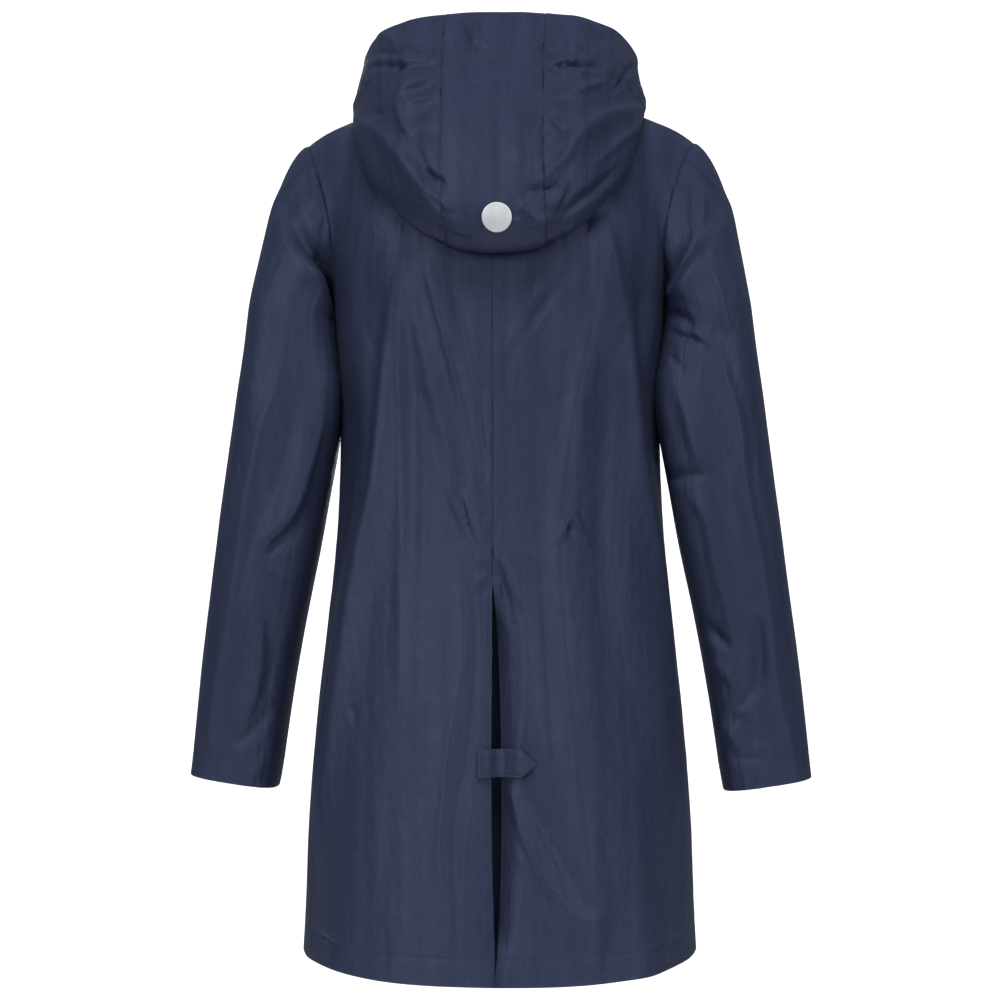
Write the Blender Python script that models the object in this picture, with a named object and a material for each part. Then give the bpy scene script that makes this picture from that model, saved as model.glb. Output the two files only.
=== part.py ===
"""A women's hooded raincoat, hollow and shaped as worn, with its hood lowered on the back.

The tables are in millimetres and the meshes in metres. +Z is up, the fronts face -Y, the back faces
+Y and the wearer's left is +X. The origin is the middle of the neck, level with the shoulders.

Every panel is a grid of points on its face side. Rows run up a body panel, down a sleeve, and from
the neck seam to the brim on the hood. A panel becomes a solid by adding its back side one wall away.
"""

import math
from typing import NamedTuple

import bpy
import numpy as np
from mathutils import Vector
from mathutils.bvhtree import BVHTree

METRES = 0.001          # in a millimetre
FAR = 900.0             # outside the coat, where a ray starts

# Cloth
WALL = 1.5
FOLDED_BACK = 0.2       # below this cosine two panels turn back on each other at their seam
PAST_EDGE = 0.8         # a point this far sideways from its nearest point lies past a surface's edge
SEAM_GAP = 0.3
LAID_ON = 0.7           # from a panel's face to the back of a piece that lies on it
FOLDED_WALL = 2.4       # a strip of two layers, such as the storm flap and the tab

# How finely the panels are divided
NECK_COLUMNS = 5
SHOULDER_COLUMNS = 7
YOKE_ROWS = 10
SKIRT_ROWS = 15
SLEEVE_HEAD_ROWS = 6
SLEEVE_ARM_ROWS = 10

BODY_COLUMNS = NECK_COLUMNS + SHOULDER_COLUMNS
NECK_SHARE = NECK_COLUMNS / BODY_COLUMNS
RING_COLUMNS = 2 * YOKE_ROWS

# Body, from hem to underarm
HEM_LEVEL = -860.0
UNDERARM_LEVEL = -205.0
HEM_DROP = 12.5         # how much lower the hem hangs at the back and front than at the sides
ARC_STEPS = 181
FOLD_FADE = 0.7         # how quickly the long folds fade at a body panel's edges
ARC_POWER = 0.9         # below 1 the outline is squarer than an ellipse


class BodySection(NamedTuple):
    """One level of the body: half its width, and how far the back and the fronts stand out."""
    level: float
    half_width: float
    back: float
    front: float


BODY_SECTIONS = (
    BodySection(-860, 201.5, 161, 152),
    BodySection(-814, 199.0, 158, 150),
    BodySection(-731, 196.0, 152, 146),
    BodySection(-608, 186.0, 143, 139),
    BodySection(-525, 177.0, 135, 132),
    BodySection(-463, 170.5, 130, 129),
    BodySection(-402, 166.0, 127, 127),
    BodySection(-325, 164.3, 127, 129),
    BodySection(-250, 168.3, 132, 138),
    BodySection(-205, 171.0, 134, 141),
)


class EdgePoint(NamedTuple):
    """A point of a seam, at a share of the seam's height or length."""
    share: float
    x: float
    y: float
    z: float


CENTRE_LINES = {
    "back": (
        EdgePoint(0.00, 0, 134, -205),
        EdgePoint(0.25, 0, 131, -158),
        EdgePoint(0.50, 0, 117, -108),
        EdgePoint(0.75, 0, 94, -56),
        EdgePoint(1.00, 0, 65, -10),
    ),
    "front": (
        EdgePoint(0.00, 0, -141, -205),
        EdgePoint(0.30, 0, -136, -165),
        EdgePoint(0.60, 0, -122, -121),
        EdgePoint(0.85, 0, -101, -85),
        EdgePoint(1.00, 0, -86, -66),
    ),
}

ARMHOLES = {
    "back": (
        EdgePoint(0.00, 171, 0, -205),
        EdgePoint(0.10, 169.5, 22, -199),
        EdgePoint(0.25, 168, 42, -180),
        EdgePoint(0.45, 168, 56, -145),
        EdgePoint(0.65, 173, 57, -108),
        EdgePoint(0.82, 183, 43, -72),
        EdgePoint(0.93, 193, 21, -47),
        EdgePoint(1.00, 199, -3, -35),
    ),
    "front": (
        EdgePoint(0.00, 171, 0, -205),
        EdgePoint(0.10, 167, -22, -199),
        EdgePoint(0.25, 161, -42, -182),
        EdgePoint(0.45, 156, -56, -150),
        EdgePoint(0.65, 161, -58, -112),
        EdgePoint(0.82, 174, -46, -75),
        EdgePoint(0.93, 188, -26, -49),
        EdgePoint(1.00, 199, -3, -35),
    ),
}

SHOULDER_SEAM = (
    EdgePoint(0.00, 78, 0, 15),
    EdgePoint(0.27, 112, -1, 5),
    EdgePoint(0.63, 154, -2, -11),
    EdgePoint(0.85, 181, -3, -23),
    EdgePoint(1.00, 199, -3, -35),
)


class NeckCurve(NamedTuple):
    """Half a neckline: straight is how evenly it rises from the centre line to the shoulder seam."""
    half_width: float
    depth: float
    low: float
    rise: float
    straight: float


NECKS = {
    "back": NeckCurve(half_width=78, depth=65, low=-10, rise=25, straight=1.0),
    "front": NeckCurve(half_width=78, depth=-86, low=-66, rise=81, straight=0.35),
}

# How far the middle of the yoke stands out from the straight patch between its four edges
YOKE_ROUNDING = {"back": (0, 25, 22), "front": (0, -20, 20)}


class DrapeStep(NamedTuple):
    """A point along a long fold: its level, its share of the way round the panel, and its rise."""
    level: float
    share: float
    rise: float


class Drape(NamedTuple):
    """A long soft fold that runs down a body panel."""
    width: float
    steps: tuple


DRAPES = {
    ("back", 1): (
        Drape(22, (DrapeStep(-860, 0.78, 2), DrapeStep(-750, 0.76, 7), DrapeStep(-600, 0.70, 9),
                   DrapeStep(-400, 0.60, 9), DrapeStep(-280, 0.54, 5), DrapeStep(-205, 0.50, 0))),
        Drape(26, (DrapeStep(-600, 0.90, 0), DrapeStep(-450, 0.82, -6), DrapeStep(-330, 0.77, -7),
                   DrapeStep(-230, 0.78, 0))),
    ),
    ("back", -1): (
        Drape(24, (DrapeStep(-860, 0.55, 5), DrapeStep(-700, 0.48, 4), DrapeStep(-560, 0.42, 2),
                   DrapeStep(-480, 0.40, 0))),
        Drape(20, (DrapeStep(-560, 0.90, 3), DrapeStep(-430, 0.78, 8), DrapeStep(-340, 0.68, 8),
                   DrapeStep(-250, 0.58, 5), DrapeStep(-205, 0.52, 0))),
    ),
    ("front", 1): (
        Drape(28, (DrapeStep(-860, 0.52, 6), DrapeStep(-650, 0.50, 5), DrapeStep(-420, 0.46, 2),
                   DrapeStep(-300, 0.45, 0))),
    ),
    ("front", -1): (
        Drape(28, (DrapeStep(-860, 0.58, 5), DrapeStep(-640, 0.55, 6), DrapeStep(-430, 0.48, 2),
                   DrapeStep(-310, 0.46, 0))),
    ),
}

# Back vent: how far the right panel's edge draws back from the centre line, level by level
VENT_TOP = -478.0
VENT_OPENING = ((-870, 1.5), (-820, 7), (-740, 11), (-640, 12), (-560, 9), (-505, 3), (-478, 0))

GUSSET_LEFT = 46.0
GUSSET_RIGHT = -58.0
GUSSET_SINK = 24.0
GUSSET_TOP_SINK = 0.25  # share of the sink at the vent's top, which is whole after this way down
GUSSET_SINKS_OVER = 90.0
GUSSET_COLUMNS = 8
GUSSET_ROWS = 9
GUSSET_TOP = -470.0
GUSSET_BOTTOM = -866.0

TAB_ACROSS = (12.5, 2.0, -16.0, -29.0, -43.5)      # from the stitched end to the shoulders and the point
TAB_TOP = -644.0
TAB_BOTTOM = -671.5
TAB_BLUNT = 0.06        # the point's width as a share of the tab's

# Front closure
PLACKET_ACROSS = (-30.0, -20.5, -1.0, 1.0, 20.5, 30.0)
PLACKET_TOP = 0.955     # share of the yoke's height
PLACKET_BOTTOM = 0.004  # share of the height from hem to underarm
PLACKET_FORWARD = 0.8   # how strongly the flap's wall turns straight forward
STUD_PROFILE = ((6.5, 0), (6.5, 0.8), (4.6, 1.8))       # radius and height
STUD_SIDES = 12
STUD_COUNT = 6
STUD_FIRST = -112.0
STUD_STEP = -108.0
STUD_ACROSS = -17.0

# Sleeve
SLEEVE_TILT = math.radians(8.7)


class SleeveSection(NamedTuple):
    """A ring of the sleeve, square to the arm: its middle, and half its width and depth."""
    x: float
    y: float
    z: float
    half_width: float
    half_depth: float


SLEEVE_SECTIONS = (
    SleeveSection(214.8, 2, -212, 42.6, 74),
    SleeveSection(216.3, 3, -257, 46.8, 71),
    SleeveSection(218.2, 4, -299, 51.0, 68),
    SleeveSection(221.6, 4, -340, 53.0, 65),
    SleeveSection(233.6, 2, -422, 52.3, 60),
    SleeveSection(247.0, -4, -505, 50.1, 55),
    SleeveSection(259.9, -12, -587, 48.7, 49),
    SleeveSection(271.4, -20, -671, 46.8, 45),
    SleeveSection(274.8, -22, -693.5, 46.0, 44),
)
SLEEVE_SWING = {1: 3.5, -1: 0.0}        # how much further out the cuff of each side hangs

# Where round the ring the two sleeve seams run, by ring column and in degrees from the body side
BACK_SEAM_COLUMN = 4
FRONT_SEAM_COLUMN = 17
RING_TURNS = ((0, 0), (BACK_SEAM_COLUMN, 62), (YOKE_ROWS, 180), (FRONT_SEAM_COLUMN, 310),
              (RING_COLUMNS, 360))
HEAD_PULL = 0.55        # how strongly the sleeve head follows the shoulder before it turns down
ARM_PULL = 1.0
HEAD_LEAVES = {"under": (0.25, -1.0), "over": (1.0, -0.45)}     # out and up, where it leaves the armhole
HEAD_FANS = 0.35        # how far it leaves to the back and front
SLEEVE_CLEARANCE = 1.2  # from the body to the sleeve that hangs beside it


class SleeveCrease(NamedTuple):
    """A soft fold across a sleeve: share of the arm's length, turn in degrees, slope, and rise."""
    share: float
    turn: float
    slope: float
    reach: float
    width: float
    rise: float


SLEEVE_CREASES = {
    1: (SleeveCrease(0.18, 60, 0.0016, 60, 0.05, 3.0), SleeveCrease(0.52, 40, -0.0010, 55, 0.04, 2.2),
        SleeveCrease(0.20, 30, 0, 26, 0.22, 8.0)),
    -1: (SleeveCrease(0.14, 70, 0.0018, 60, 0.05, 3.4), SleeveCrease(0.48, 45, -0.0012, 60, 0.04, 2.4),
         SleeveCrease(0.20, 30, 0, 26, 0.22, 8.0)),
}


class HoodSection(NamedTuple):
    """The hood's run at one place along the neckline, from the stand at the neck to the brim."""
    place: float
    stand: tuple
    lay: tuple
    fold: tuple
    low: tuple
    belly: tuple
    channel: tuple
    brim: tuple


# place counts neckline steps: 0 centre back, 2 the hood's seam, 5 the shoulder, 10 centre front
HOOD_SECTIONS = (
    HoodSection(0.0, (0, 74, 8), (0, 116, -78), (0, 153, -160), (0, 172, -122), (0, 166, -50),
                (0, 134, 32), (0, 102, 80)),
    HoodSection(2.0, (47, 60, 11), (52, 108, -74), (50, 147, -150), (50, 167, -114), (50, 161, -48),
                (50, 129, 32), (50, 97, 79.5)),
    HoodSection(3.5, (72, 42, 18), (88, 88, -56), (96, 122, -120), (99, 140, -90), (97, 139, -38),
                (94, 114, 30), (92, 80, 76)),
    HoodSection(4.4, (84, 22, 25), (112, 50, -28), (129, 80, -73), (133, 90, -50), (130, 92, -15),
                (125, 78, 33), (120, 52, 69.5)),
    HoodSection(5.2, (87, -2, 30), (120, 14, 12), (144, 22, -12), (149, 25, -2), (145, 26, 14),
                (141, 22, 34), (139, 12, 54)),
    HoodSection(7.0, (70, -50, -2), (94, -50, -12), (117, -47, -24), (124, -49, -14), (125, -50, 0),
                (122, -48, 13), (117, -44, 25)),
    HoodSection(9.0, (25, -85, -52), (27, -88, -47), (29, -90, -42), (30, -92, -37), (31, -93, -32),
                (32, -94, -27), (32, -94, -22)),
)
HOOD_CENTRE_PLACES = (0, 0.5, 1, 1.5, 2)
HOOD_SIDE_PLACES = (2, 2.5, 3, 3.5, 4, 4.5, 5, 5.5, 6, 6.5, 7, 7.5, 8, 8.5, 9)
HOOD_RUNS = (0, 0.5, 1, 1.3, 1.6, 2, 2.35, 2.7, 3, 3.25, 3.6, 4, 4.5, 5, 5.5, 6, 6.5, 7)
HOOD_CLEARANCE = ((0, 0.0), (0.5, 2.0), (1, 4.0), (1.6, 5.0), (7, 5.0))     # run, and how clear of the coat
HOOD_LEAN = ((-160, -5), (0, 0), (80, -1))     # level and sideways shift: the hood hangs a little askew

DOT_RINGS = (14.5, 7.2, 0.6)
DOT_WALL = 1.0
DOT_PLACE = (-3.0, -122.0)
DOT_SIDES = 20

# Base colours, linear
NAVY = (0.036, 0.043, 0.078)
GUNMETAL = (0.09, 0.09, 0.1)
SILVER = (0.62, 0.63, 0.66)


def smooth(rows, at):
    """Read a table at one or more stations, along smooth curves through its rows.

    The first column holds the stations, in order. Returns an array of the other columns.
    """
    table = np.asarray(rows, float)
    stations, values = table[:, 0], table[:, 1:]
    slopes = np.gradient(values, stations, axis=0)
    at = np.clip(np.asarray(at, float), stations[0], stations[-1])
    low = np.clip(np.searchsorted(stations, at, side="right") - 1, 0, len(stations) - 2)
    span = stations[low + 1] - stations[low]
    t = ((at - stations[low]) / span)[..., None]
    span = span[..., None]
    return (
        (2 * t ** 3 - 3 * t ** 2 + 1) * values[low]
        + (t ** 3 - 2 * t ** 2 + t) * span * slopes[low]
        + (3 * t ** 2 - 2 * t ** 3) * values[low + 1]
        + (t ** 3 - t ** 2) * span * slopes[low + 1]
    )


def unit(vectors):
    """The same directions at length one."""
    return vectors / np.linalg.norm(vectors, axis=-1, keepdims=True)


# ---------------------------------------------------------------- body

def quarter_outline(half_width, depth, shares):
    """Points from the middle of the back or front to the side seam, at shares of the length."""
    turn = np.linspace(0, math.pi / 2, ARC_STEPS)
    x = half_width * np.sin(turn) ** ARC_POWER
    y = depth * np.cos(turn) ** ARC_POWER
    length = np.r_[0, np.cumsum(np.hypot(np.diff(x), np.diff(y)))]
    at = shares * length[-1]
    return np.interp(at, length, x), np.interp(at, length, y), length[-1]


def skirt_row(face, level, shares):
    """A row of a body panel between hem and underarm."""
    half_width, back, front = smooth(BODY_SECTIONS, level)
    depth = back if face == "back" else -front
    x, y, length = quarter_outline(half_width, depth, shares)
    up = (level - HEM_LEVEL) / (UNDERARM_LEVEL - HEM_LEVEL)
    drop = HEM_DROP * (1 - up) ** 2 * (1 - np.sin(shares * math.pi / 2) ** 4)
    return np.stack([x, y, level - drop], axis=1)


def neck_point(face, share):
    """A point of the neckline: share 0 is the centre line, and 1 the shoulder seam."""
    curve = NECKS[face]
    turn = share * math.pi / 2
    out = np.cos(turn)
    return np.stack([
        curve.half_width * np.sin(turn),
        curve.depth * out,
        curve.low + curve.rise * (1 - curve.straight * out - (1 - curve.straight) * out ** 2),
    ], axis=-1)


def top_edge(face, shares):
    """The neckline and then the shoulder seam, as one edge."""
    neck = neck_point(face, np.clip(shares / NECK_SHARE, 0, 1))
    seam = smooth(SHOULDER_SEAM, np.clip((shares - NECK_SHARE) / (1 - NECK_SHARE), 0, 1))
    return np.where((shares <= NECK_SHARE)[:, None], neck, seam)


def yoke_row(face, height, shares):
    """A row of a body panel above the underarm, at a share of the yoke's height."""
    under = skirt_row(face, UNDERARM_LEVEL, shares)
    over = top_edge(face, shares)
    middle = smooth(CENTRE_LINES[face], height)
    armhole = smooth(ARMHOLES[face], height)
    along = shares[:, None] ** 2
    patch = (1 - height) * under + height * over + (1 - along) * middle + along * armhole
    corners = (1 - height) * ((1 - along) * under[0] + along * under[-1])
    corners += height * ((1 - along) * over[0] + along * over[-1])
    crown = 4 * height * (1 - height) * np.sin(shares * math.pi)[:, None] ** 2
    return patch - corners + crown * np.array(YOKE_ROUNDING[face])


def drape_rise(face, side, level, shares, length):
    """How far the long folds lift a row of points."""
    rise = np.zeros_like(shares)
    for drape in DRAPES[face, side]:
        steps = drape.steps
        if steps[0].level <= level <= steps[-1].level:
            share, height = smooth(steps, level)
            away = (shares - share) * length / drape.width
            rise += height * np.exp(-away ** 2)
    return rise


def body_row(face, side, place, shares):
    """A row of a body panel: place runs from 0 at the hem to 1 at the underarm and 2 at the top."""
    if place > 1:
        return yoke_row(face, place - 1, shares)
    level = HEM_LEVEL + (UNDERARM_LEVEL - HEM_LEVEL) * place
    row = skirt_row(face, level, shares)
    half_width, back, front = smooth(BODY_SECTIONS, level)
    depth = back if face == "back" else front
    outward = unit(np.stack([row[:, 0] / half_width ** 2, row[:, 1] / depth ** 2, 0 * shares], axis=1))
    length = np.linalg.norm(np.diff(row, axis=0), axis=1).sum()
    held = np.sin(np.clip(shares, 0, 1) * math.pi) ** FOLD_FADE
    return row + outward * (drape_rise(face, side, level, shares, length) * held)[:, None]


def body_panel(face, side):
    """The face-side points of one body panel."""
    shares = np.linspace(0, 1, BODY_COLUMNS + 1)
    places = np.r_[np.linspace(0, 1, SKIRT_ROWS + 1), 1 + np.linspace(0, 1, YOKE_ROWS + 1)[1:]]
    rows = []
    for place in places:
        row_shares = shares
        level = HEM_LEVEL + (UNDERARM_LEVEL - HEM_LEVEL) * place
        if face == "back" and side < 0 and level < VENT_TOP:
            opening = float(smooth(VENT_OPENING, level)[0])
            edge = opening / quarter_length(level)
            row_shares = edge + (1 - edge) * shares
        rows.append(body_row(face, side, place, row_shares))
    return np.array(rows) * (side, 1, 1)


def quarter_length(level):
    """The length of half the back, from centre line to side seam, at a level."""
    half_width, back, _ = smooth(BODY_SECTIONS, level)
    return quarter_outline(half_width, back, np.array([0.0]))[2]


# ---------------------------------------------------------------- sleeves

def armhole_point(column):
    """The armhole at a column of the sleeve's ring, from the underarm round the back."""
    column = column % RING_COLUMNS
    if column <= YOKE_ROWS:
        return smooth(ARMHOLES["back"], column / YOKE_ROWS)
    return smooth(ARMHOLES["front"], (RING_COLUMNS - column) / YOKE_ROWS)


def ring_point(section, turn):
    """A point of a ring round the arm, by its turn from the body side."""
    x, y, z, half_width, half_depth = section
    across = -half_width * math.cos(turn)
    return np.array([
        x + across * math.cos(SLEEVE_TILT),
        y + half_depth * math.sin(turn),
        z + across * math.sin(SLEEVE_TILT),
    ])


def ring_turn(column):
    """The turn, in radians, of a column of the ring."""
    columns, degrees = zip(*RING_TURNS)
    return math.radians(np.interp(column % RING_COLUMNS, columns, degrees))


def crease_rise(side, share, turn):
    """How far the folds of a sleeve lift a point."""
    rise = 0.0
    for crease in SLEEVE_CREASES[side]:
        away = (math.degrees(turn) - crease.turn + 180) % 360 - 180
        line = crease.share + crease.slope * away
        rise += crease.rise * math.exp(-((share - line) / crease.width) ** 2 - (away / crease.reach) ** 2)
    return rise


def sleeve_point(side, column, place):
    """A point of a sleeve: place runs from 0 at the armhole to 1 at the upper arm and 2 at the cuff."""
    turn = ring_turn(column)
    sections = [(row, *section) for row, section in enumerate(SLEEVE_SECTIONS)]
    if place >= 1:
        share = place - 1
        section = smooth(sections, share * (len(sections) - 1))
        section[0] += SLEEVE_SWING[side] * share
        rise = crease_rise(side, share, turn) * min(1.0, 6 * share)
        section[3:] += rise
        return ring_point(section, turn)
    start = armhole_point(column)
    end = ring_point(SLEEVE_SECTIONS[0], turn)
    reach = np.linalg.norm(end - start)
    over = (1 - math.cos(turn)) / 2
    out, up = (1 - over) * np.array(HEAD_LEAVES["under"]) + over * np.array(HEAD_LEAVES["over"])
    leave = unit(np.array([out, HEAD_FANS * math.sin(turn), up]))
    arrive = np.array([math.sin(SLEEVE_TILT), 0, -math.cos(SLEEVE_TILT)])
    t = place
    return (
        (2 * t ** 3 - 3 * t ** 2 + 1) * start
        + (t ** 3 - 2 * t ** 2 + t) * reach * HEAD_PULL * leave
        + (3 * t ** 2 - 2 * t ** 3) * end
        + (t ** 3 - t ** 2) * reach * ARM_PULL * arrive
    )


def sleeve_panel(side, first, last, coat):
    """The face-side points of one piece of a sleeve, between two columns of its ring."""
    places = np.r_[np.linspace(0, 1, SLEEVE_HEAD_ROWS + 1), 1 + np.linspace(0, 1, SLEEVE_ARM_ROWS + 1)[1:]]
    columns = range(first, last + 1)
    grid = np.array([[sleeve_point(side, column, place) for column in columns] for place in places])
    grid *= (side, 1, 1)
    for row in grid[1:]:
        for column in range(len(row)):
            row[column] = clear_of(coat, row[column], SLEEVE_CLEARANCE)
    return grid


# ---------------------------------------------------------------- panels into solids

class Panel:
    """A piece of cloth: its face-side grid, which way it faces, and which of its edges are sewn."""

    def __init__(self, name, grid, facing, sewn):
        self.name = name
        self.grid = grid
        self.facing = facing
        self.sewn = sewn
        along = np.gradient(grid, axis=1)
        up = np.gradient(grid, axis=0)
        self.normals = unit(np.cross(along, up) * facing)
        self.back = None
        self.places = ()

    def seam_places(self):
        """Each sewn edge as the list of its (row, column) places."""
        rows, columns = self.grid.shape[:2]
        edges = {
            "start": [(0, c) for c in range(columns)],
            "end": [(rows - 1, c) for c in range(columns)],
            "first": [(r, 0) for r in range(rows)],
            "last": [(r, columns - 1) for r in range(rows)],
        }
        return {name: [place for place in edges[name] if self.joins(name, place)] for name in self.sewn}

    def joins(self, name, place):
        """Whether an edge is sewn at this place; the back panels open below the vent's top."""
        if name == "first" and self.name.startswith("back"):
            return self.grid[place][2] > VENT_TOP - 1
        return True

    def inward(self, place):
        """The direction from a place on the edge to the middle of the panel, along the cloth."""
        rows, columns = self.grid.shape[:2]
        row, column = place
        inner = min(max(row, 1), rows - 2), min(max(column, 1), columns - 2)
        return unit(self.grid[inner] - self.grid[place])


def seam_key(point):
    """A key that is the same for every panel that meets at this point."""
    return tuple(np.round(point, 1) + 0.0)


def meeting_normals(panels):
    """The directions of all the panels that meet at each point of a seam."""
    found = {}
    for panel in panels:
        places = {place for edge in panel.seam_places().values() for place in edge}
        for place in sorted(places):
            found.setdefault(seam_key(panel.grid[place]), []).append(panel.normals[place])
    return found


def give_wall(panel, meeting):
    """Draw the sewn edges back by half the gap, and add the back side of the cloth."""
    face = panel.grid.copy()
    direction = panel.normals.copy()
    for places in panel.seam_places().values():
        for index, place in enumerate(places):
            before = panel.grid[places[max(index - 1, 0)]]
            after = panel.grid[places[min(index + 1, len(places) - 1)]]
            own = panel.normals[place]
            others = meeting[seam_key(panel.grid[place])]
            alike = [other for other in others if own @ other > FOLDED_BACK]
            common = unit(sum(alike))
            if len(alike) < len(others):
                face[place] -= common * SEAM_GAP
            if len(alike) > 1:
                apart = unit(np.cross(after - before, common))
                if apart @ (panel.inward(place) - 0.5 * own) < 0:
                    apart = -apart
                face[place] += apart * SEAM_GAP / 2
                direction[place] = common / (common @ own)
    panel.grid = face
    panel.back = face - direction * WALL


def solid_faces(rows, columns, facing):
    """Triangles of a solid with a face-side grid, a back-side grid and a rim."""
    count = rows * columns
    faces = []
    for r in range(rows - 1):
        for c in range(columns - 1):
            a, b = r * columns + c, r * columns + c + 1
            d, e = a + columns, b + columns
            faces += [(a, b, e), (a, e, d)]
            faces += [(count + e, count + b, count + a), (count + d, count + e, count + a)]
    rim = [(0, c) for c in range(columns)] + [(r, columns - 1) for r in range(1, rows)]
    rim += [(rows - 1, c) for c in range(columns - 2, -1, -1)] + [(r, 0) for r in range(rows - 2, 0, -1)]
    loop = [r * columns + c for r, c in rim]
    for a, b in zip(loop, loop[1:] + loop[:1]):
        if a < b:
            faces += [(b, a, count + a), (b, count + a, count + b)]
        else:
            faces += [(b, a, count + b), (a, count + a, count + b)]
    if facing < 0:
        faces = [face[::-1] for face in faces]
    return faces


def make_object(name, points, faces, finish):
    """Add a closed mesh, smooth shaded, with its own material."""
    mesh = bpy.data.meshes.new(name)
    mesh.from_pydata([tuple(point) for point in np.asarray(points) * METRES], [], faces)
    mesh.materials.append(finish)
    mesh.shade_smooth()
    mesh.set_sharp_from_angle(angle=math.radians(50))
    made = bpy.data.objects.new(name, mesh)
    bpy.context.scene.collection.objects.link(made)
    return made


def make_panel(panel, finish):
    """Add a panel that has its wall."""
    rows, columns = panel.grid.shape[:2]
    points = np.concatenate([panel.grid.reshape(-1, 3), panel.back.reshape(-1, 3)])
    return make_object(panel.name, points, solid_faces(rows, columns, panel.facing), finish)


def surface(panels):
    """A search tree over the face side of some panels."""
    points, faces = [], []
    for panel in panels:
        rows, columns = panel.grid.shape[:2]
        start = len(points)
        points += [Vector(point) for point in panel.grid.reshape(-1, 3)]
        for r in range(rows - 1):
            for c in range(columns - 1):
                a = start + r * columns + c
                b, d, e = a + 1, a + columns, a + columns + 1
                pair = [(a, b, e), (a, e, d)]
                faces += pair if panel.facing > 0 else [face[::-1] for face in pair]
    return BVHTree.FromPolygons(points, faces)


def clear_of(tree, point, clearance, past_edge=PAST_EDGE):
    """Move a point straight out from a surface until it is clear of it.

    A point past the surface's edge is left where it is.
    """
    nearest, normal, _, _ = tree.find_nearest(Vector(point))
    nearest, normal = np.array(nearest), np.array(normal)
    height = (point - nearest) @ normal
    if np.linalg.norm(point - nearest - height * normal) > past_edge:
        return point
    return point + normal * max(0.0, clearance - height)


def cast(tree, x, z, facing):
    """The point of a surface straight in front of, or behind, a place, and its normal there."""
    hit, normal, _, _ = tree.ray_cast(Vector((x, FAR * facing, z)), Vector((0, -facing, 0)))
    return np.array(hit), np.array(normal)


# ---------------------------------------------------------------- hood

def neck_seam(panels, place):
    """A point of the coat's neck edge, at a place along the neckline."""
    panel = panels["back"] if place <= NECK_COLUMNS else panels["front"]
    column = place if place <= NECK_COLUMNS else 2 * NECK_COLUMNS - place
    low = min(int(column), NECK_COLUMNS - 1)
    part = column - low
    return (1 - part) * panel.grid[-1, low] + part * panel.grid[-1, low + 1]


def hood_column(panels, side, place, coat):
    """The face-side points of the hood from the neck seam to the brim, at one place."""
    seam = neck_seam(panels, place) * (side, 1, 1)
    rows = [(section.place, *np.ravel(section[1:])) for section in HOOD_SECTIONS]
    mirrored = [(-row[0], *(np.reshape(row[1:], (-1, 3)) * (-1, 1, 1)).ravel()) for row in rows[:0:-1]]
    stops = smooth(mirrored + rows, place).reshape(-1, 3) * (side, 1, 1)
    stops[:, 0] += smooth(HOOD_LEAN, stops[:, 2])[:, 0]
    run = smooth([(index, *stop) for index, stop in enumerate([seam, *stops])], HOOD_RUNS)
    for index, at in enumerate(HOOD_RUNS):
        clearance = float(np.interp(at, *zip(*HOOD_CLEARANCE)))
        run[index] = clear_of(coat, run[index], clearance, past_edge=clearance)
    return run


def hood_panels(body, coat):
    """The three panels of the hood, each with the places of its columns along the neckline."""
    left = {"back": body["back_left"], "front": body["front_left"]}
    right_places = [-place for place in HOOD_CENTRE_PLACES[:0:-1]]
    sets = {
        "hood_centre": (right_places + list(HOOD_CENTRE_PLACES), -1, ("start", "first", "last")),
        "hood_left": (HOOD_SIDE_PLACES, -1, ("start", "first")),
        "hood_right": ([-place for place in HOOD_SIDE_PLACES], 1, ("start", "first")),
    }
    panels = {}
    for name, (places, facing, sewn) in sets.items():
        columns = [hood_column(left, math.copysign(1, place), abs(place), coat) for place in places]
        panels[name] = Panel(name, np.array(columns).transpose(1, 0, 2), facing, sewn)
        panels[name].places = places
    return panels


def settle_neck_edge(panel):
    """Put the points that lie between two of the coat's neck points halfway between those."""
    for column, place in enumerate(panel.places):
        if place % 1:
            for side in (panel.grid, panel.back):
                side[0, column] = (side[0, column - 1] + side[0, column + 1]) / 2


# ---------------------------------------------------------------- pieces laid on panels

def laid_strip(name, grid, normals):
    """A strip of folded cloth whose back side follows a surface, a little way out from it."""
    panel = Panel(name, grid + normals * (LAID_ON + FOLDED_WALL), 1, ())
    panel.back = grid + normals * LAID_ON
    return panel


def placket(body):
    """The storm flap over the front closure, laid on both fronts."""
    tree = surface([body["front_left"], body["front_right"]])
    places = np.r_[PLACKET_BOTTOM, np.linspace(0, 1, SKIRT_ROWS + 1)[1:],
                   1 + np.linspace(0, 1, YOKE_ROWS + 1)[1:-1], 1 + PLACKET_TOP]
    centre = [body_row("front", 1, place, np.array([0.0]))[0] for place in places]
    grid, normals = [], []
    for point in centre:
        cuts = [cast(tree, x, point[2], -1) for x in PLACKET_ACROSS]
        grid.append([hit for hit, _ in cuts])
        normals.append([normal for _, normal in cuts])
    grid, normals = np.array(grid), np.array(normals)
    normals = unit(normals - np.array([0, PLACKET_FORWARD, 0]))
    return laid_strip("front_placket", grid, normals)


def tab(body):
    """The pointed tab that bridges the vent, stitched to the left panel."""
    tree = surface([body["back_left"], body["back_right"]])
    middle = (TAB_TOP + TAB_BOTTOM) / 2
    grid = []
    for x in TAB_ACROSS:
        share = TAB_BLUNT if x == TAB_ACROSS[-1] else 1.0
        levels = [middle + (level - middle) * share for level in (TAB_BOTTOM, middle, TAB_TOP)]
        grid.append([(x, cast(tree, x, level, 1)[0][1], level) for level in levels])
    grid = np.array(grid).transpose(1, 0, 2)
    normals = np.zeros_like(grid)
    normals[..., 1] = 1
    return laid_strip("vent_tab", grid, normals)


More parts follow.
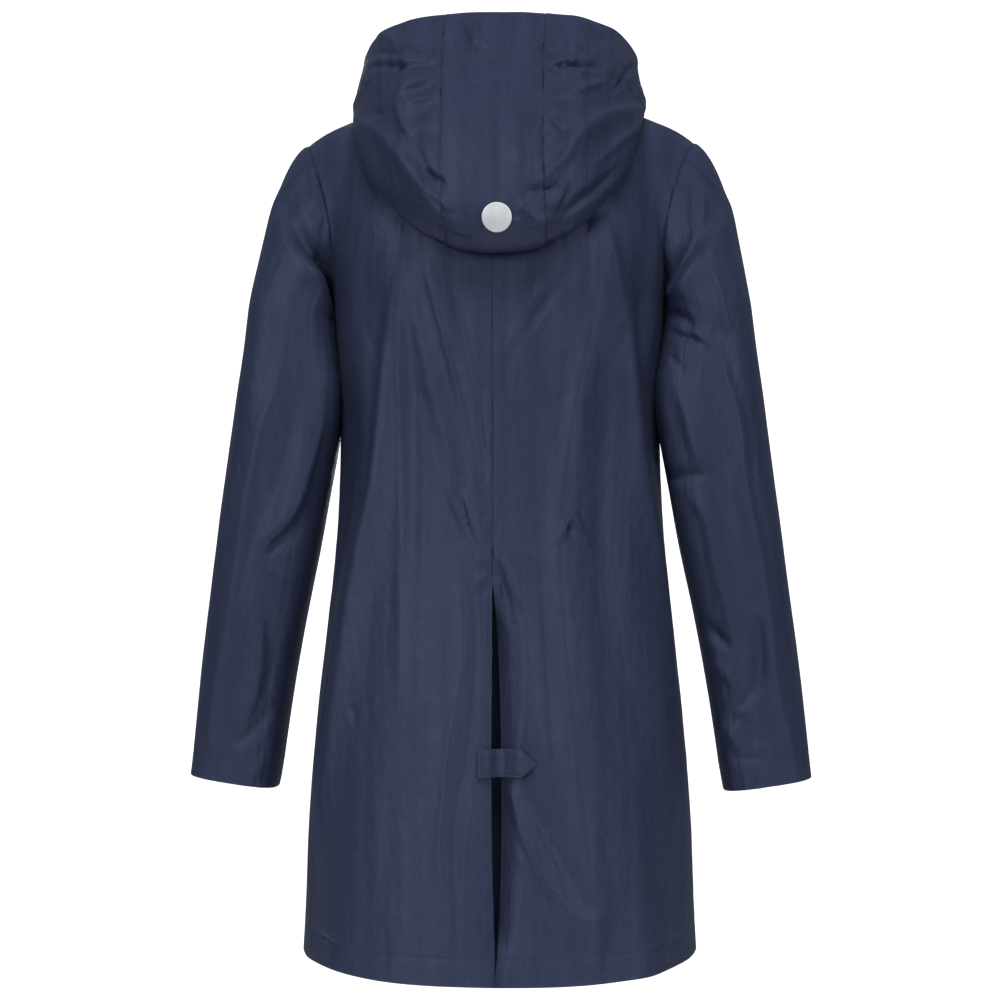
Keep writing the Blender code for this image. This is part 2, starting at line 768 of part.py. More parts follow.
def gusset(body):
    """The underlay behind the vent: flush inside both back panels, and sunk between them."""
    tree = surface([body["back_left"], body["back_right"]])
    levels = np.linspace(GUSSET_BOTTOM, GUSSET_TOP, GUSSET_ROWS + 1)
    across = np.linspace(GUSSET_RIGHT, GUSSET_LEFT, GUSSET_COLUMNS + 1)
    grid = []
    for level in levels:
        sides = [cast(tree, x, level, 1)[0][1] for x in (GUSSET_RIGHT, GUSSET_LEFT)]
        row = []
        for x in across:
            share = (x - GUSSET_RIGHT) / (GUSSET_LEFT - GUSSET_RIGHT)
            line = sides[0] + (sides[1] - sides[0]) * share
            sunk = GUSSET_SINK * math.sin(math.pi * share) ** 2
            down = (GUSSET_TOP - level) / GUSSET_SINKS_OVER
            sunk *= min(1.0, GUSSET_TOP_SINK + (1 - GUSSET_TOP_SINK) * down)
            row.append((x, line - WALL - LAID_ON - sunk, level))
        grid.append(row)
    panel = Panel("vent_gusset", np.array(grid), -1, ())
    panel.back = panel.grid - np.array([0, WALL, 0])
    return panel


def turned(name, profile, sides, seat, axis, finish):
    """A round piece turned from (radius, height) steps about an axis that stands on a seat."""
    upright = Vector(axis).to_track_quat("Z", "Y").to_matrix()
    points = []
    for radius, height in profile:
        for step in range(sides):
            turn = 2 * math.pi * step / sides
            local = Vector((radius * math.cos(turn), radius * math.sin(turn), height))
            points.append(Vector(seat) + upright @ local)
    faces = [tuple(range(sides))[::-1]]
    for ring in range(len(profile) - 1):
        for step in range(sides):
            a, b = ring * sides + step, ring * sides + (step + 1) % sides
            faces.append((a, b, b + sides, a + sides))
    top = (len(profile) - 1) * sides
    faces.append(tuple(range(top, top + sides)))
    return make_object(name, [tuple(point) for point in points], faces, finish)


def studs(flap, finish):
    """The row of press studs on the storm flap."""
    tree = surface([flap])
    for number in range(STUD_COUNT):
        seat, normal = cast(tree, STUD_ACROSS, STUD_FIRST + STUD_STEP * number, -1)
        name = f"press_stud_{number + 1}"
        turned(name, STUD_PROFILE, STUD_SIDES, seat + normal * LAID_ON / 2, normal, finish)


def dot(hood_centre, finish):
    """The round reflective badge on the hood, which follows the panel's curve."""
    tree = surface([hood_centre])
    x, z = DOT_PLACE
    _, normal = cast(tree, x, z, 1)
    rise = math.hypot(normal[0], normal[1])
    rings = []
    for radius in DOT_RINGS:
        for step in range(DOT_SIDES):
            turn = 2 * math.pi * step / DOT_SIDES
            hit, _ = cast(tree, x + radius * math.cos(turn), z + radius * math.sin(turn) * rise, 1)
            rings.append(hit)
    seat = np.array(rings) + normal * LAID_ON
    top = seat + normal * DOT_WALL
    points = np.concatenate([top, seat])
    count = len(seat)
    faces = []
    for ring in range(len(DOT_RINGS) - 1):
        for step in range(DOT_SIDES):
            a, b = ring * DOT_SIDES + step, ring * DOT_SIDES + (step + 1) % DOT_SIDES
            faces.append((a + DOT_SIDES, b + DOT_SIDES, b, a))
            faces.append((count + a, count + b, count + b + DOT_SIDES, count + a + DOT_SIDES))
    inner = count - DOT_SIDES
    faces.append(tuple(inner + step for step in range(DOT_SIDES))[::-1])
    faces.append(tuple(count + inner + step for step in range(DOT_SIDES)))
    for step in range(DOT_SIDES):
        a, b = step, (step + 1) % DOT_SIDES
        faces.append((a, b, count + b, count + a))
    return make_object("reflective_dot", points, faces, finish)


# ---------------------------------------------------------------- materials and assembly

def principled(name, colour, roughness, metallic=0.0):
    """A plain Principled material."""
    made = bpy.data.materials.new(name)
    made.use_nodes = True
    shader = made.node_tree.nodes["Principled BSDF"]
    shader.inputs["Base Color"].default_value = (*colour, 1)
    shader.inputs["Roughness"].default_value = roughness
    shader.inputs["Metallic"].default_value = metallic
    return made


def navy_cloth(name):
    """The coat's cloth, one material for each piece."""
    return principled(f"{name}_cloth", NAVY, 0.55)


def stud_metal():
    """Dark metal of the press studs."""
    return principled("stud_metal", GUNMETAL, 0.35, metallic=1.0)


def reflective_silver():
    """Bright film of the round badge."""
    return principled("reflective_silver", SILVER, 0.3, metallic=0.6)


def coat_panels():
    """All the panels that are sewn together, with their walls: body, sleeves and hood."""
    sides = {"left": 1, "right": -1}
    body, sleeves = {}, []
    sewn = ("first", "last", "end")
    for word, side in sides.items():
        body[f"back_{word}"] = Panel(f"back_{word}", body_panel("back", side), -side, sewn)
        body[f"front_{word}"] = Panel(f"front_{word}", body_panel("front", side), side, sewn)
    coat = surface(body.values())
    sewn = ("start", "first", "last")
    for word, side in sides.items():
        upper = sleeve_panel(side, BACK_SEAM_COLUMN, FRONT_SEAM_COLUMN, coat)
        under = sleeve_panel(side, FRONT_SEAM_COLUMN, RING_COLUMNS + BACK_SEAM_COLUMN, coat)
        sleeves.append(Panel(f"sleeve_upper_{word}", upper, side, sewn))
        sleeves.append(Panel(f"sleeve_under_{word}", under, side, sewn))
    hood = hood_panels(body, coat)
    sewn_together = [*body.values(), *sleeves, *hood.values()]
    meeting = meeting_normals(sewn_together)
    for panel in sewn_together:
        give_wall(panel, meeting)
    for panel in hood.values():
        settle_neck_edge(panel)
    return body, sleeves, hood


def main():
    """Build the coat."""
    for old in list(bpy.data.objects):
        bpy.data.objects.remove(old)
    body, sleeves, hood = coat_panels()
    flap = placket(body)
    for panel in [*body.values(), *sleeves, *hood.values(), flap, tab(body), gusset(body)]:
        make_panel(panel, navy_cloth(panel.name))
    studs(flap, stud_metal())
    dot(hood["hood_centre"], reflective_silver())


main()
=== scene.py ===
"""Dresses a women's hooded raincoat: its cloth, folds, sewing, trim and finishes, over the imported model.

Tables are in millimetres and meshes in metres. +Z is up, the fronts face -Y, the back faces +Y and the
wearer's left is +X. Every cut piece is a grid of points on its outer side. Rows run up a body panel,
down a sleeve, and from the neck seam to the brim on the hood.
"""

import logging
import math
from dataclasses import dataclass, field
from enum import Enum
from itertools import product
from typing import Iterable, NamedTuple, Sequence

import bmesh
import bpy
import numpy as np
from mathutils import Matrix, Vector
from mathutils.bvhtree import BVHTree
from mathutils.kdtree import KDTree

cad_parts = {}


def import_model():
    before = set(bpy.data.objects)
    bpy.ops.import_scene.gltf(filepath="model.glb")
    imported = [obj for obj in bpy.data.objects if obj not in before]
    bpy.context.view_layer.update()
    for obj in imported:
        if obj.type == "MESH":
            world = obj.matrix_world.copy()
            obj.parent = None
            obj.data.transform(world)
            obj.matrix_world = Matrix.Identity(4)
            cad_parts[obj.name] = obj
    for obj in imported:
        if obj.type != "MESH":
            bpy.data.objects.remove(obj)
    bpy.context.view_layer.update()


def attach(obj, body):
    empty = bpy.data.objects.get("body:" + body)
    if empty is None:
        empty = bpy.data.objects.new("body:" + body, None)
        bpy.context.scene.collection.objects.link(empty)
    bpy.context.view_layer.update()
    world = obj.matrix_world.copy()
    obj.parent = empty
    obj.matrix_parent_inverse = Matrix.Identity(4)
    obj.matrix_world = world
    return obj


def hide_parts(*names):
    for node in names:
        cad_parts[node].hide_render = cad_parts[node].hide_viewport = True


Array = np.ndarray
Table = Sequence[Sequence[float]]
Colour = tuple[float, float, float]

METRES = 0.001          # in a millimetre
FAR = 900.0             # outside the coat, where a ray starts
BODY = "root"
NAVY_SLOT = "navy_cloth"
METAL_SLOT = "stud_metal"
SILVER_SLOT = "reflective_silver"

log = logging.getLogger("raincoat")


class Side(Enum):
    """The wearer's left and right."""
    LEFT = 1
    RIGHT = -1

    @property
    def word(self) -> str:
        """The side as it stands in the pieces' names."""
        return self.name.lower()


class Face(Enum):
    """The two faces of the coat's body."""
    BACK = "back"
    FRONT = "front"


class Edge(Enum):
    """The four edges of a cut piece's grid: its first and last column, and its first and last row."""
    FIRST = "first"
    LAST = "last"
    START = "start"
    END = "end"

    @property
    def level(self) -> bool:
        """Whether it runs along a row."""
        return self in (Edge.START, Edge.END)


class Finish(Enum):
    """The finishes of the coat's pieces."""
    CLOTH = "navy_taffeta"
    INSIDE = "navy_coating"
    THREAD = "navy_thread"
    METAL = "gunmetal_cap"
    FILM = "reflective_film"


# ---------------------------------------------------------------- the coat's shape

# level, half the width, and how far the back and the fronts stand out
BODY_SECTIONS = (
    (-860, 201.5, 161, 152), (-814, 199.0, 158, 150), (-731, 196.0, 152, 146), (-608, 186.0, 143, 139),
    (-525, 177.0, 135, 132), (-463, 170.5, 130, 129), (-402, 166.0, 127, 127), (-325, 164.3, 127, 129),
    (-250, 168.3, 132, 138), (-205, 171.0, 134, 141),
)

# share of the yoke's height, and the place
CENTRE_LINES = {
    Face.BACK: ((0.00, 0, 134, -205), (0.25, 0, 131, -158), (0.50, 0, 117, -108), (0.75, 0, 94, -56),
                (1.00, 0, 65, -10)),
    Face.FRONT: ((0.00, 0, -141, -205), (0.30, 0, -136, -165), (0.60, 0, -122, -121), (0.85, 0, -101, -85),
                 (1.00, 0, -86, -66)),
}
ARMHOLES = {
    Face.BACK: ((0.00, 171, 0, -205), (0.10, 169.5, 22, -199), (0.25, 168, 42, -180), (0.45, 168, 56, -145),
                (0.65, 173, 57, -108), (0.82, 183, 43, -72), (0.93, 193, 21, -47), (1.00, 199, -3, -35)),
    Face.FRONT: ((0.00, 171, 0, -205), (0.10, 167, -22, -199), (0.25, 161, -42, -182), (0.45, 156, -56, -150),
                 (0.65, 161, -58, -112), (0.82, 174, -46, -75), (0.93, 188, -26, -49), (1.00, 199, -3, -35)),
}

# share of the seam's length, and the place
SHOULDER_SEAM = ((0.00, 78, 0, 15), (0.27, 112, -1, 5), (0.63, 154, -2, -11), (0.85, 181, -3, -23),
                 (1.00, 199, -3, -35))

# half width, depth, low point, rise and straightness of half the neckline
NECKS = {Face.BACK: (78, 65, -10, 25, 1.0), Face.FRONT: (78, -86, -66, 81, 0.35)}
YOKE_ROUNDING = {Face.BACK: (0, 25, 22), Face.FRONT: (0, -20, 20)}

# width of each long soft fold, then its level, its share of the way round the panel, and its rise
DRAPES = {
    (Face.BACK, Side.LEFT): (
        (22, ((-860, 0.78, 2), (-750, 0.76, 7), (-600, 0.70, 9), (-400, 0.60, 9), (-280, 0.54, 5),
              (-205, 0.50, 0))),
        (26, ((-600, 0.90, 0), (-450, 0.82, -6), (-330, 0.77, -7), (-230, 0.78, 0))),
    ),
    (Face.BACK, Side.RIGHT): (
        (24, ((-860, 0.55, 5), (-700, 0.48, 4), (-560, 0.42, 2), (-480, 0.40, 0))),
        (20, ((-560, 0.90, 3), (-430, 0.78, 8), (-340, 0.68, 8), (-250, 0.58, 5), (-205, 0.52, 0))),
    ),
    (Face.FRONT, Side.LEFT): (
        (28, ((-860, 0.52, 6), (-650, 0.50, 5), (-420, 0.46, 2), (-300, 0.45, 0))),
    ),
    (Face.FRONT, Side.RIGHT): (
        (28, ((-860, 0.58, 5), (-640, 0.55, 6), (-430, 0.48, 2), (-310, 0.46, 0))),
    ),
}

# level, and how far the right panel's edge draws back from the centre line
VENT_OPENING = ((-870, 2.5), (-842, 4.2), (-800, 7), (-740, 9), (-640, 8.5), (-560, 6), (-505, 2), (-478, 0))
# how far the left back's edge leans over the vent, by level
VENT_LAP = ((-872, 4.0), (-842, 4.0), (-793, 2.5), (-745, 1.0), (-690, 0.0))
# fine columns beside the vent, and a back's girth, about
VENT_STEPS = (0.15, 0.4, 0.8, 1.5, 7.4, 8.2, 9.0, 9.8, 10.6)
BACK_GIRTH = 262

# middle of each ring of the sleeve, and half its width and depth
SLEEVE_SECTIONS = (
    (214.8, 2, -212, 42.6, 74), (216.3, 3, -257, 46.8, 71), (218.2, 4, -299, 51.0, 68),
    (221.6, 4, -340, 53.0, 65), (233.6, 2, -422, 52.3, 60), (247.0, -4, -505, 50.1, 55),
    (259.9, -12, -587, 48.7, 49), (271.4, -20, -671, 46.8, 45), (274.8, -22, -693.5, 46.0, 44),
)

# share of the arm's length, turn in degrees, slope, reach, width and rise of each soft fold
SLEEVE_CREASES = {
    Side.LEFT: ((0.20, 30, 0, 26, 0.22, 8.0), (0.52, 40, -0.0010, 55, 0.10, 1.6)),
    Side.RIGHT: ((0.20, 30, 0, 26, 0.22, 8.0), (0.48, 45, -0.0012, 60, 0.10, 1.6)),
}

# place along the neckline, then the stand, lay, fold, low, belly, channel and brim points
HOOD_SECTIONS = (
    (0.0, 0, 74, 8, 0, 116, -78, 0, 142, -161, 0, 173, -129, 0, 166, -50, 0, 134, 32, 0, 102, 80),
    (2.0, 47, 60, 11, 52, 108, -74, 50, 137, -151, 50, 168, -120, 50, 161, -48, 50, 129, 32, 50, 97, 79.5),
    (3.5, 72, 42, 18, 88, 88, -56, 96, 124, -120, 99, 143, -94, 97, 139, -38, 94, 114, 30, 92, 80, 76),
    (4.4, 84, 22, 25, 112, 50, -28, 129, 93, -73, 133, 104, -53, 130, 92, -15, 125, 78, 33, 120, 52, 69.5),
    (5.2, 87, -2, 30, 120, 14, 12, 144, 22, -12, 149, 25, -2, 145, 26, 14, 141, 22, 34, 139, 12, 54),
    (7.0, 70, -50, -2, 94, -50, -12, 117, -47, -24, 124, -49, -14, 125, -50, 0, 122, -48, 13, 117, -44, 25),
    (9.0, 25, -85, -52, 27, -88, -47, 29, -90, -42, 30, -92, -37, 31, -93, -32, 32, -94, -27, 32, -94, -22),
)
NECK_STOP = (50.0, 60.0, 5.0)        # where a middling column starts
HOOD_CLEARANCE = ((0, 0.0), (0.5, 2.0), (1, 3.0), (1.7, 4.0), (2, 5.5), (2.5, 9.0), (7, 9.0))
HOOD_LEAN = ((-160, -5), (0, 0), (80, -1))

# ---------------------------------------------------------------- listed folds


@dataclass(frozen=True)
class Fold:
    """A ridge, or a trough where its rise is below zero, laid out flat as one looks at the coat.

    Attributes:
        stations: from top to bottom: place across to the wearer's left, level, rise and half width.
        lean: how much steeper it is on the wearer's left, or right below zero.
        crest: below 2 its crest is sharper.
    """
    stations: Table
    lean: float = 0.0
    crest: float = 2.0


BACK_LEFT_FOLDS = (
    Fold(((103, -153, 0, 7), (111, -192, 3.25, 7), (118, -248, 6.88, 7), (123, -299, 8.75, 7),
          (127, -350, 9.38, 7), (135, -402, 9.38, 7), (145, -448, 8.12, 7), (154, -495, 6.88, 6.5),
          (162, -546, 5.62, 6), (170, -608, 5, 6), (178, -670, 4.38, 6), (186, -726, 3.12, 6),
          (194, -773, 0, 7)), lean=0.7, crest=1.5),
    Fold(((119, -186, 0, 9), (128, -242, -3.75, 9), (137, -309, -6.25, 10), (147, -376, -6.25, 10),
          (159, -443, -5, 9), (168, -505, 0, 9))),
    Fold(((102, -157, 0, 5), (102, -227, 1.95, 5), (101, -320, 1.95, 5), (101, -423, 1.65, 5),
          (103, -546, 1.5, 6), (105, -629, 0, 6)), crest=1.8),
    Fold(((91, -196, 0, 6), (89, -299, -1.8, 6), (89, -402, -1.5, 6), (91, -505, 0, 6))),
    Fold(((78, -151, 0, 5), (70, -181, 3, 5), (61, -217, 3.3, 5), (49, -263, 2.7, 5), (38, -309, 2.1, 5),
          (29, -350, 1.5, 5), (25, -402, 0, 5)), crest=1.8),
    Fold(((98, -170, 0, 6), (84, -227, 2.1, 7), (66, -299, 2.7, 8), (54, -350, 2.1, 8), (46, -392, 0, 8)),
          crest=1.8),
    Fold(((54, -167, 0, 6), (40, -227, -2.55, 6), (27, -289, -2.55, 6), (19, -350, -1.95, 5),
          (14, -402, 0, 5))),
    Fold(((56, -377, 0, 4), (46, -407, 3.6, 4), (35, -433, 4.2, 3.8), (27, -456, 3.3, 3.4),
          (20, -474, 0, 3)), crest=1.7),
    Fold(((38, -390, 0, 3.4), (32, -412, 3, 3.4), (25, -438, 3.3, 3.2), (18, -462, 2.4, 3),
          (14, -474, 0, 3)), crest=1.7),
    Fold(((43, -394, 0, 3), (37, -417, -3.6, 3), (29, -445, -3.9, 3), (21, -468, 0, 3))),
    Fold(((45, -460, 0, 5), (40, -505, 2.16, 5.5), (38, -556, 2.7, 5.5), (43, -608, 2.88, 5),
          (52, -654, 2.88, 5), (57, -711, 3.06, 4.6), (61, -757, 2.7, 4.6), (58, -799, 2.16, 5),
          (49, -819, 1.62, 5), (53, -855, 1.08, 6), (57, -896, 0.54, 7)), lean=-0.35, crest=1.6),
    Fold(((31, -484, 0, 5), (26, -546, -2.34, 5.5), (29, -608, -2.7, 6), (35, -670, -2.52, 6),
          (43, -711, -1.8, 5), (48, -768, -1.44, 4), (46, -814, 0, 4))),
    Fold(((24, -699, 0, 4), (30, -726, 1.98, 4.4), (34, -762, 2.16, 4.4), (37, -804, 1.98, 4.4),
          (38, -845, 1.44, 5), (39, -896, 0.72, 6)), crest=1.7),
    Fold(((196, -837, 0, 3), (183, -852, -2.1, 3), (165, -862, 0, 3.4))),
    Fold(((152, -610, 0, 3), (150, -622, -2.1, 3), (148, -636, 0, 3)), crest=1.8),
    Fold(((152, -129, 0, 9), (152, -196, 3.3, 9), (154, -258, 3, 9), (158, -320, 0, 9))),
)

BACK_RIGHT_FOLDS = (
    Fold(((-108, -107, 0, 7), (-115, -144, 3.75, 7.5), (-124, -186, 6.25, 8), (-132, -237, 7.5, 8),
          (-138, -289, 8.12, 8), (-144, -340, 8.12, 8), (-151, -392, 7.5, 8), (-160, -438, 6.25, 8),
          (-167, -484, 4.38, 8), (-173, -546, 3.12, 8), (-181, -608, 2.25, 8), (-192, -690, 0, 8)),
          lean=-0.7, crest=1.5),
    Fold(((-132, -153, 0, 8), (-141, -196, -4.25, 8.5), (-148, -248, -5.75, 8.5), (-152, -299, -5.75, 8),
          (-157, -350, -3.75, 7), (-161, -402, 0, 7))),
    Fold(((-161, -116, 0, 7), (-158, -153, 3.6, 6.5), (-157, -206, 3.9, 6.5), (-154, -248, 3, 6),
          (-154, -289, 0, 6)), crest=1.8),
    Fold(((-105, -109, 0, 18), (-103, -134, 5, 18), (-98, -186, 7, 18), (-91, -237, 8.25, 18),
          (-80, -289, 8.75, 18), (-73, -330, 9, 18), (-67, -371, 9, 18), (-63, -412, 8.75, 18),
          (-61, -459, 8.75, 18), (-64, -526, 9.75, 18), (-72, -608, 10, 18), (-81, -701, 10.25, 18),
          (-92, -783, 9.25, 17), (-100, -816, 6.25, 15), (-101, -845, 2.5, 14), (-99, -868, 0, 12)),
          lean=0.42, crest=1.6),
    Fold(((-105, -237, 0, 14), (-108, -320, -2.4, 16), (-107, -402, -3, 17), (-106, -505, -3, 17),
          (-113, -608, -2.7, 16), (-124, -711, -2.1, 15), (-132, -793, 0, 15))),
    Fold(((-64, -151, 0, 6), (-49, -175, 1.2, 6), (-31, -204, 1.35, 6), (-14, -232, 1.2, 6),
          (0, -260, 0, 6)), crest=1.9),
    Fold(((-88, -155, 0, 6), (-68, -186, 1.05, 6), (-47, -215, 1.2, 6), (-25, -250, 1.05, 6),
          (-14, -284, 1.05, 6), (-12, -330, 0, 6)), crest=1.9),
    Fold(((-74, -161, 0, 5), (-54, -190, -1.8, 5), (-35, -217, -1.8, 5), (-14, -250, 0, 5))),
    Fold(((-56, -451, 0, 3.4), (-63, -435, 4.2, 3.4), (-72, -420, 4.8, 3.4), (-83, -434, 4.2, 3.2),
          (-95, -450, 0, 3)), crest=1.6),
    Fold(((-64, -427, 0, 3), (-69, -430, -4.5, 3.2), (-74, -436, 0, 3)), crest=1.8),
    Fold(((7, -443, 0, 3.4), (1, -460, 2.76, 3.4), (-7, -476, 3.22, 3.4), (-14, -495, 2.76, 3.4),
          (-21, -519, 0, 4)), crest=1.7),
    Fold(((3, -472, 0, 3.4), (-3, -491, -3, 3.4), (-8, -511, -2.4, 3.8), (-12, -538, 0, 4)), crest=1.8),
    Fold(((-10, -464, 0, 8), (-27, -460, 0.92, 9), (-45, -466, 0.92, 9), (-54, -484, 0, 9))),
    Fold(((-21, -505, 0, 7), (-26, -546, 2.07, 8), (-27, -608, 2.07, 8), (-21, -649, 1.61, 7),
          (-12, -675, 0, 6)), crest=1.8),
    Fold(((-47, -505, 0, 8), (-46, -567, -1.6, 8), (-49, -629, -1.4, 8), (-54, -690, 0, 8))),
    Fold(((-7, -690, 0, 5), (-14, -716, 4.83, 5.5), (-23, -747, 6.44, 6), (-35, -775, 6.9, 6.5),
          (-49, -799, 5.98, 7), (-64, -819, 4.83, 8), (-74, -845, 3.45, 9), (-82, -878, 1.38, 10)),
          lean=0.35, crest=1.6),
    Fold(((-23, -696, 0, 6), (-41, -732, -3.2, 6.5), (-58, -762, -3.8, 7), (-72, -789, -3, 6),
          (-87, -807, 0, 6))),
    Fold(((-12, -740, 0, 4), (-20, -769, 2.53, 4.4), (-34, -800, 2.53, 4.4), (-46, -832, 1.84, 4.6),
          (-53, -863, 0, 5)), crest=1.7),
    Fold(((-66, -818, 0, 10), (-82, -830, 3.6, 13), (-94, -841, 3.6, 11), (-95, -871, 2.1, 11),
          (-91, -898, 0, 11))),
    Fold(((-27, -814, 0, 8), (-35, -845, -1.8, 9), (-41, -881, 0, 9))),
)

HOOD_FOLDS = (
    Fold(((91, -48, 0, 4), (85, -62, 3.32, 4), (78, -75, 4.24, 4), (68, -86, 4.24, 3.8), (58, -96, 2.73, 4),
          (49, -106, 0, 4)), crest=1.6),
    Fold(((78, -60, 0, 4), (71, -69, -3.93, 4), (62, -73, -3.32, 3.6), (55, -77, 0, 3))),
    Fold(((61, 38, 0, 3), (77, 33, 3.02, 3.4), (93, 28, 3.63, 3.4), (102, 19, 3.63, 3.4),
          (106, 9, 3.32, 3.4), (104, -4, 3.32, 3.6), (97, -18, 3.02, 4), (89, -27, 0, 5)), crest=1.6),
    Fold(((61, 16, 0, 3), (74, 13, 3.02, 3), (89, 10, 3.32, 3), (103, 5, 2.12, 3), (109, 2, 0, 3)),
          crest=1.6),
    Fold(((62, 24, 0, 4), (78, 22, -3.36, 4.4), (92, 19, -3.36, 4), (99, 15, 0, 3))),
    Fold(((65, 6, 0, 6), (81, -2, -3.02, 6.5), (91, -11, -2.12, 6), (95, -17, 0, 5))),
    Fold(((82, -23, 0, 7), (74, -39, 3.32, 8), (66, -60, 2.73, 8), (61, -79, 0, 7))),
    Fold(((156, -9, 0, 8), (138, -15, 4.74, 9), (119, -28, 5.83, 9), (99, -50, 6.2, 8), (87, -70, 5.47, 7),
          (72, -93, 4.74, 7), (56, -109, 3.28, 7), (31, -120, 1.82, 7), (12, -124, 0, 7)), lean=-0.35,
          crest=1.7),
    Fold(((-50, 10, 0, 4), (-62, 14, 2.73, 4), (-76, 19, 3.02, 4), (-99, 26, 3.02, 4), (-111, 31, 0, 4)),
          crest=1.7),
    Fold(((-46, 2, 0, 4), (-59, 3, 3.02, 4), (-72, -2, 3.63, 4), (-79, -13, 3.63, 4), (-75, -25, 3.32, 4),
          (-65, -34, 3.02, 4), (-54, -42, 0, 5)), crest=1.6),
    Fold(((-52, -6, 0, 4), (-59, -13, -3.32, 4), (-65, -21, -2.73, 4), (-64, -27, 0, 4))),
    Fold(((-157, -0, 0, 8), (-132, -1, 4.74, 9), (-109, -5, 5.47, 9), (-91, -16, 6.2, 8),
          (-75, -32, 6.2, 8), (-62, -50, 5.47, 7), (-53, -64, 3.65, 7), (-46, -77, 0, 7)), lean=0.35,
          crest=1.7),
    Fold(((-32, 6, 0, 9), (-34, -31, 2.73, 9), (-35, -62, 2.73, 9), (-33, -87, 0, 8))),
    Fold(((-14, -31, 0, 5), (-20, -47, 2.12, 5), (-20, -60, 0, 5))),
    Fold(((-27, -86, 0, 3), (-37, -83, -3.63, 3), (-52, -80, -3.93, 3), (-60, -80, 0, 3)), crest=1.7),
    Fold(((-21, -89, 0, 5), (-25, -101, 3.02, 5), (-37, -113, 3.63, 5), (-52, -113, 3.32, 5),
          (-63, -99, 3.02, 5), (-69, -84, 0, 4)), crest=1.7),
    Fold(((-74, -74, 0, 3.4), (-68, -91, -3.63, 3.4), (-59, -106, -3.63, 3.4), (-47, -118, 0, 4)),
          crest=1.8),
    Fold(((-93, -60, 0, 5), (-115, -40, 3.02, 5), (-138, -21, 2.42, 5), (-150, -13, 0, 5)), crest=1.8),
    Fold(((-54, -114, 0, 5), (-76, -99, -3.93, 5), (-95, -85, -4.24, 5), (-113, -68, -2.42, 5),
          (-126, -54, 0, 5))),
    Fold(((44, 97, 0, 3.4), (40, 88, -4.37, 3.2), (35, 76, -5.04, 3), (28, 68, -4.7, 3), (18, 64, -3.36, 3),
          (10, 59, 0, 3)), crest=1.5),
    Fold(((31, 97, 0, 8), (19, 86, 3.02, 9), (8, 74, 0, 9))),
    Fold(((-61, 90, 0, 3.4), (-66, 82, -3.7, 3), (-72, 74, -3.36, 3), (-76, 68, 0, 3)), crest=1.7),
    Fold(((-68, 94, 0, 5), (-82, 89, 3.02, 5), (-101, 81, 2.52, 5), (-113, 74, 0, 5))),
    Fold(((-44, 51, 0, 3), (-49, 54, -3.7, 3), (-58, 58, -4.03, 3), (-80, 59, -3.02, 3), (-91, 62, 0, 3)),
          crest=1.6),
    Fold(((-43, 41, 0, 3), (-55, 43, -4.03, 3), (-73, 46, -3.7, 3), (-95, 43, -2.52, 3), (-107, 42, 0, 3)),
          crest=1.6),
    Fold(((-44, 35, 0, 3), (-58, 37, 3.02, 3), (-82, 40, 3.02, 3), (-103, 40, 0, 3)), crest=1.8),
    Fold(((-47, 49, 0, 3), (-62, 51, 3.02, 3), (-87, 51, 2.69, 3), (-101, 49, 0, 3)), crest=1.8),
    Fold(((-138, 49, 0, 3), (-134, 43, -3.36, 3), (-127, 32, -3.7, 3), (-121, 23, -3.02, 3),
          (-116, 15, 0, 3)), crest=1.6),
    Fold(((37, 23, 0, 3), (29, 25, -2.69, 3), (11, 28, -2.69, 3), (0, 31, -1.68, 3), (-16, 36, 0, 3)),
          crest=1.7),
    Fold(((128, 72, 0, 4), (117, 75, 3.7, 4.4), (108, 68, 3.36, 4.4), (102, 59, 0, 4)), crest=1.8),
    Fold(((138, 53, 0, 4), (124, 60, -3.02, 3), (111, 57, -3.02, 3), (99, 62, -2.69, 3), (82, 59, -2.69, 3),
          (66, 56, 0, 3)), crest=1.7),
    Fold(((136, 43, 0, 4), (119, 45, -3.02, 3), (103, 43, -3.02, 3), (82, 46, -2.69, 3), (64, 42, 0, 3)),
          crest=1.7),
    Fold(((134, 49, 0, 4), (117, 51, 2.35, 3), (101, 50, 2.35, 3), (80, 52, 2.02, 3), (64, 49, 0, 3)),
          crest=1.7),
    Fold(((89, 68, 0, 3), (78, 76, -2.69, 3), (70, 82, 0, 3)), crest=1.8),
    Fold(((132, -2, 0, 4), (126, -4, -2.12, 4), (117, -1, 0, 4)), crest=1.8),
    Fold(((54, -120, 0, 4), (39, -125, 2.42, 4), (19, -129, 0, 4))),
    Fold(((-10, -120, 0, 3), (-19, -115, 2.73, 3), (-31, -119, 2.73, 3), (-43, -116, 0, 3)), crest=1.8),
    Fold(((58, -93, 0, 3), (53, -100, 2.73, 3), (46, -106, 0, 3)), crest=1.8),
    Fold(((107, -99, 0, 5), (82, -116, -2.42, 5), (56, -128, -2.12, 5), (31, -134, 0, 5))),
)

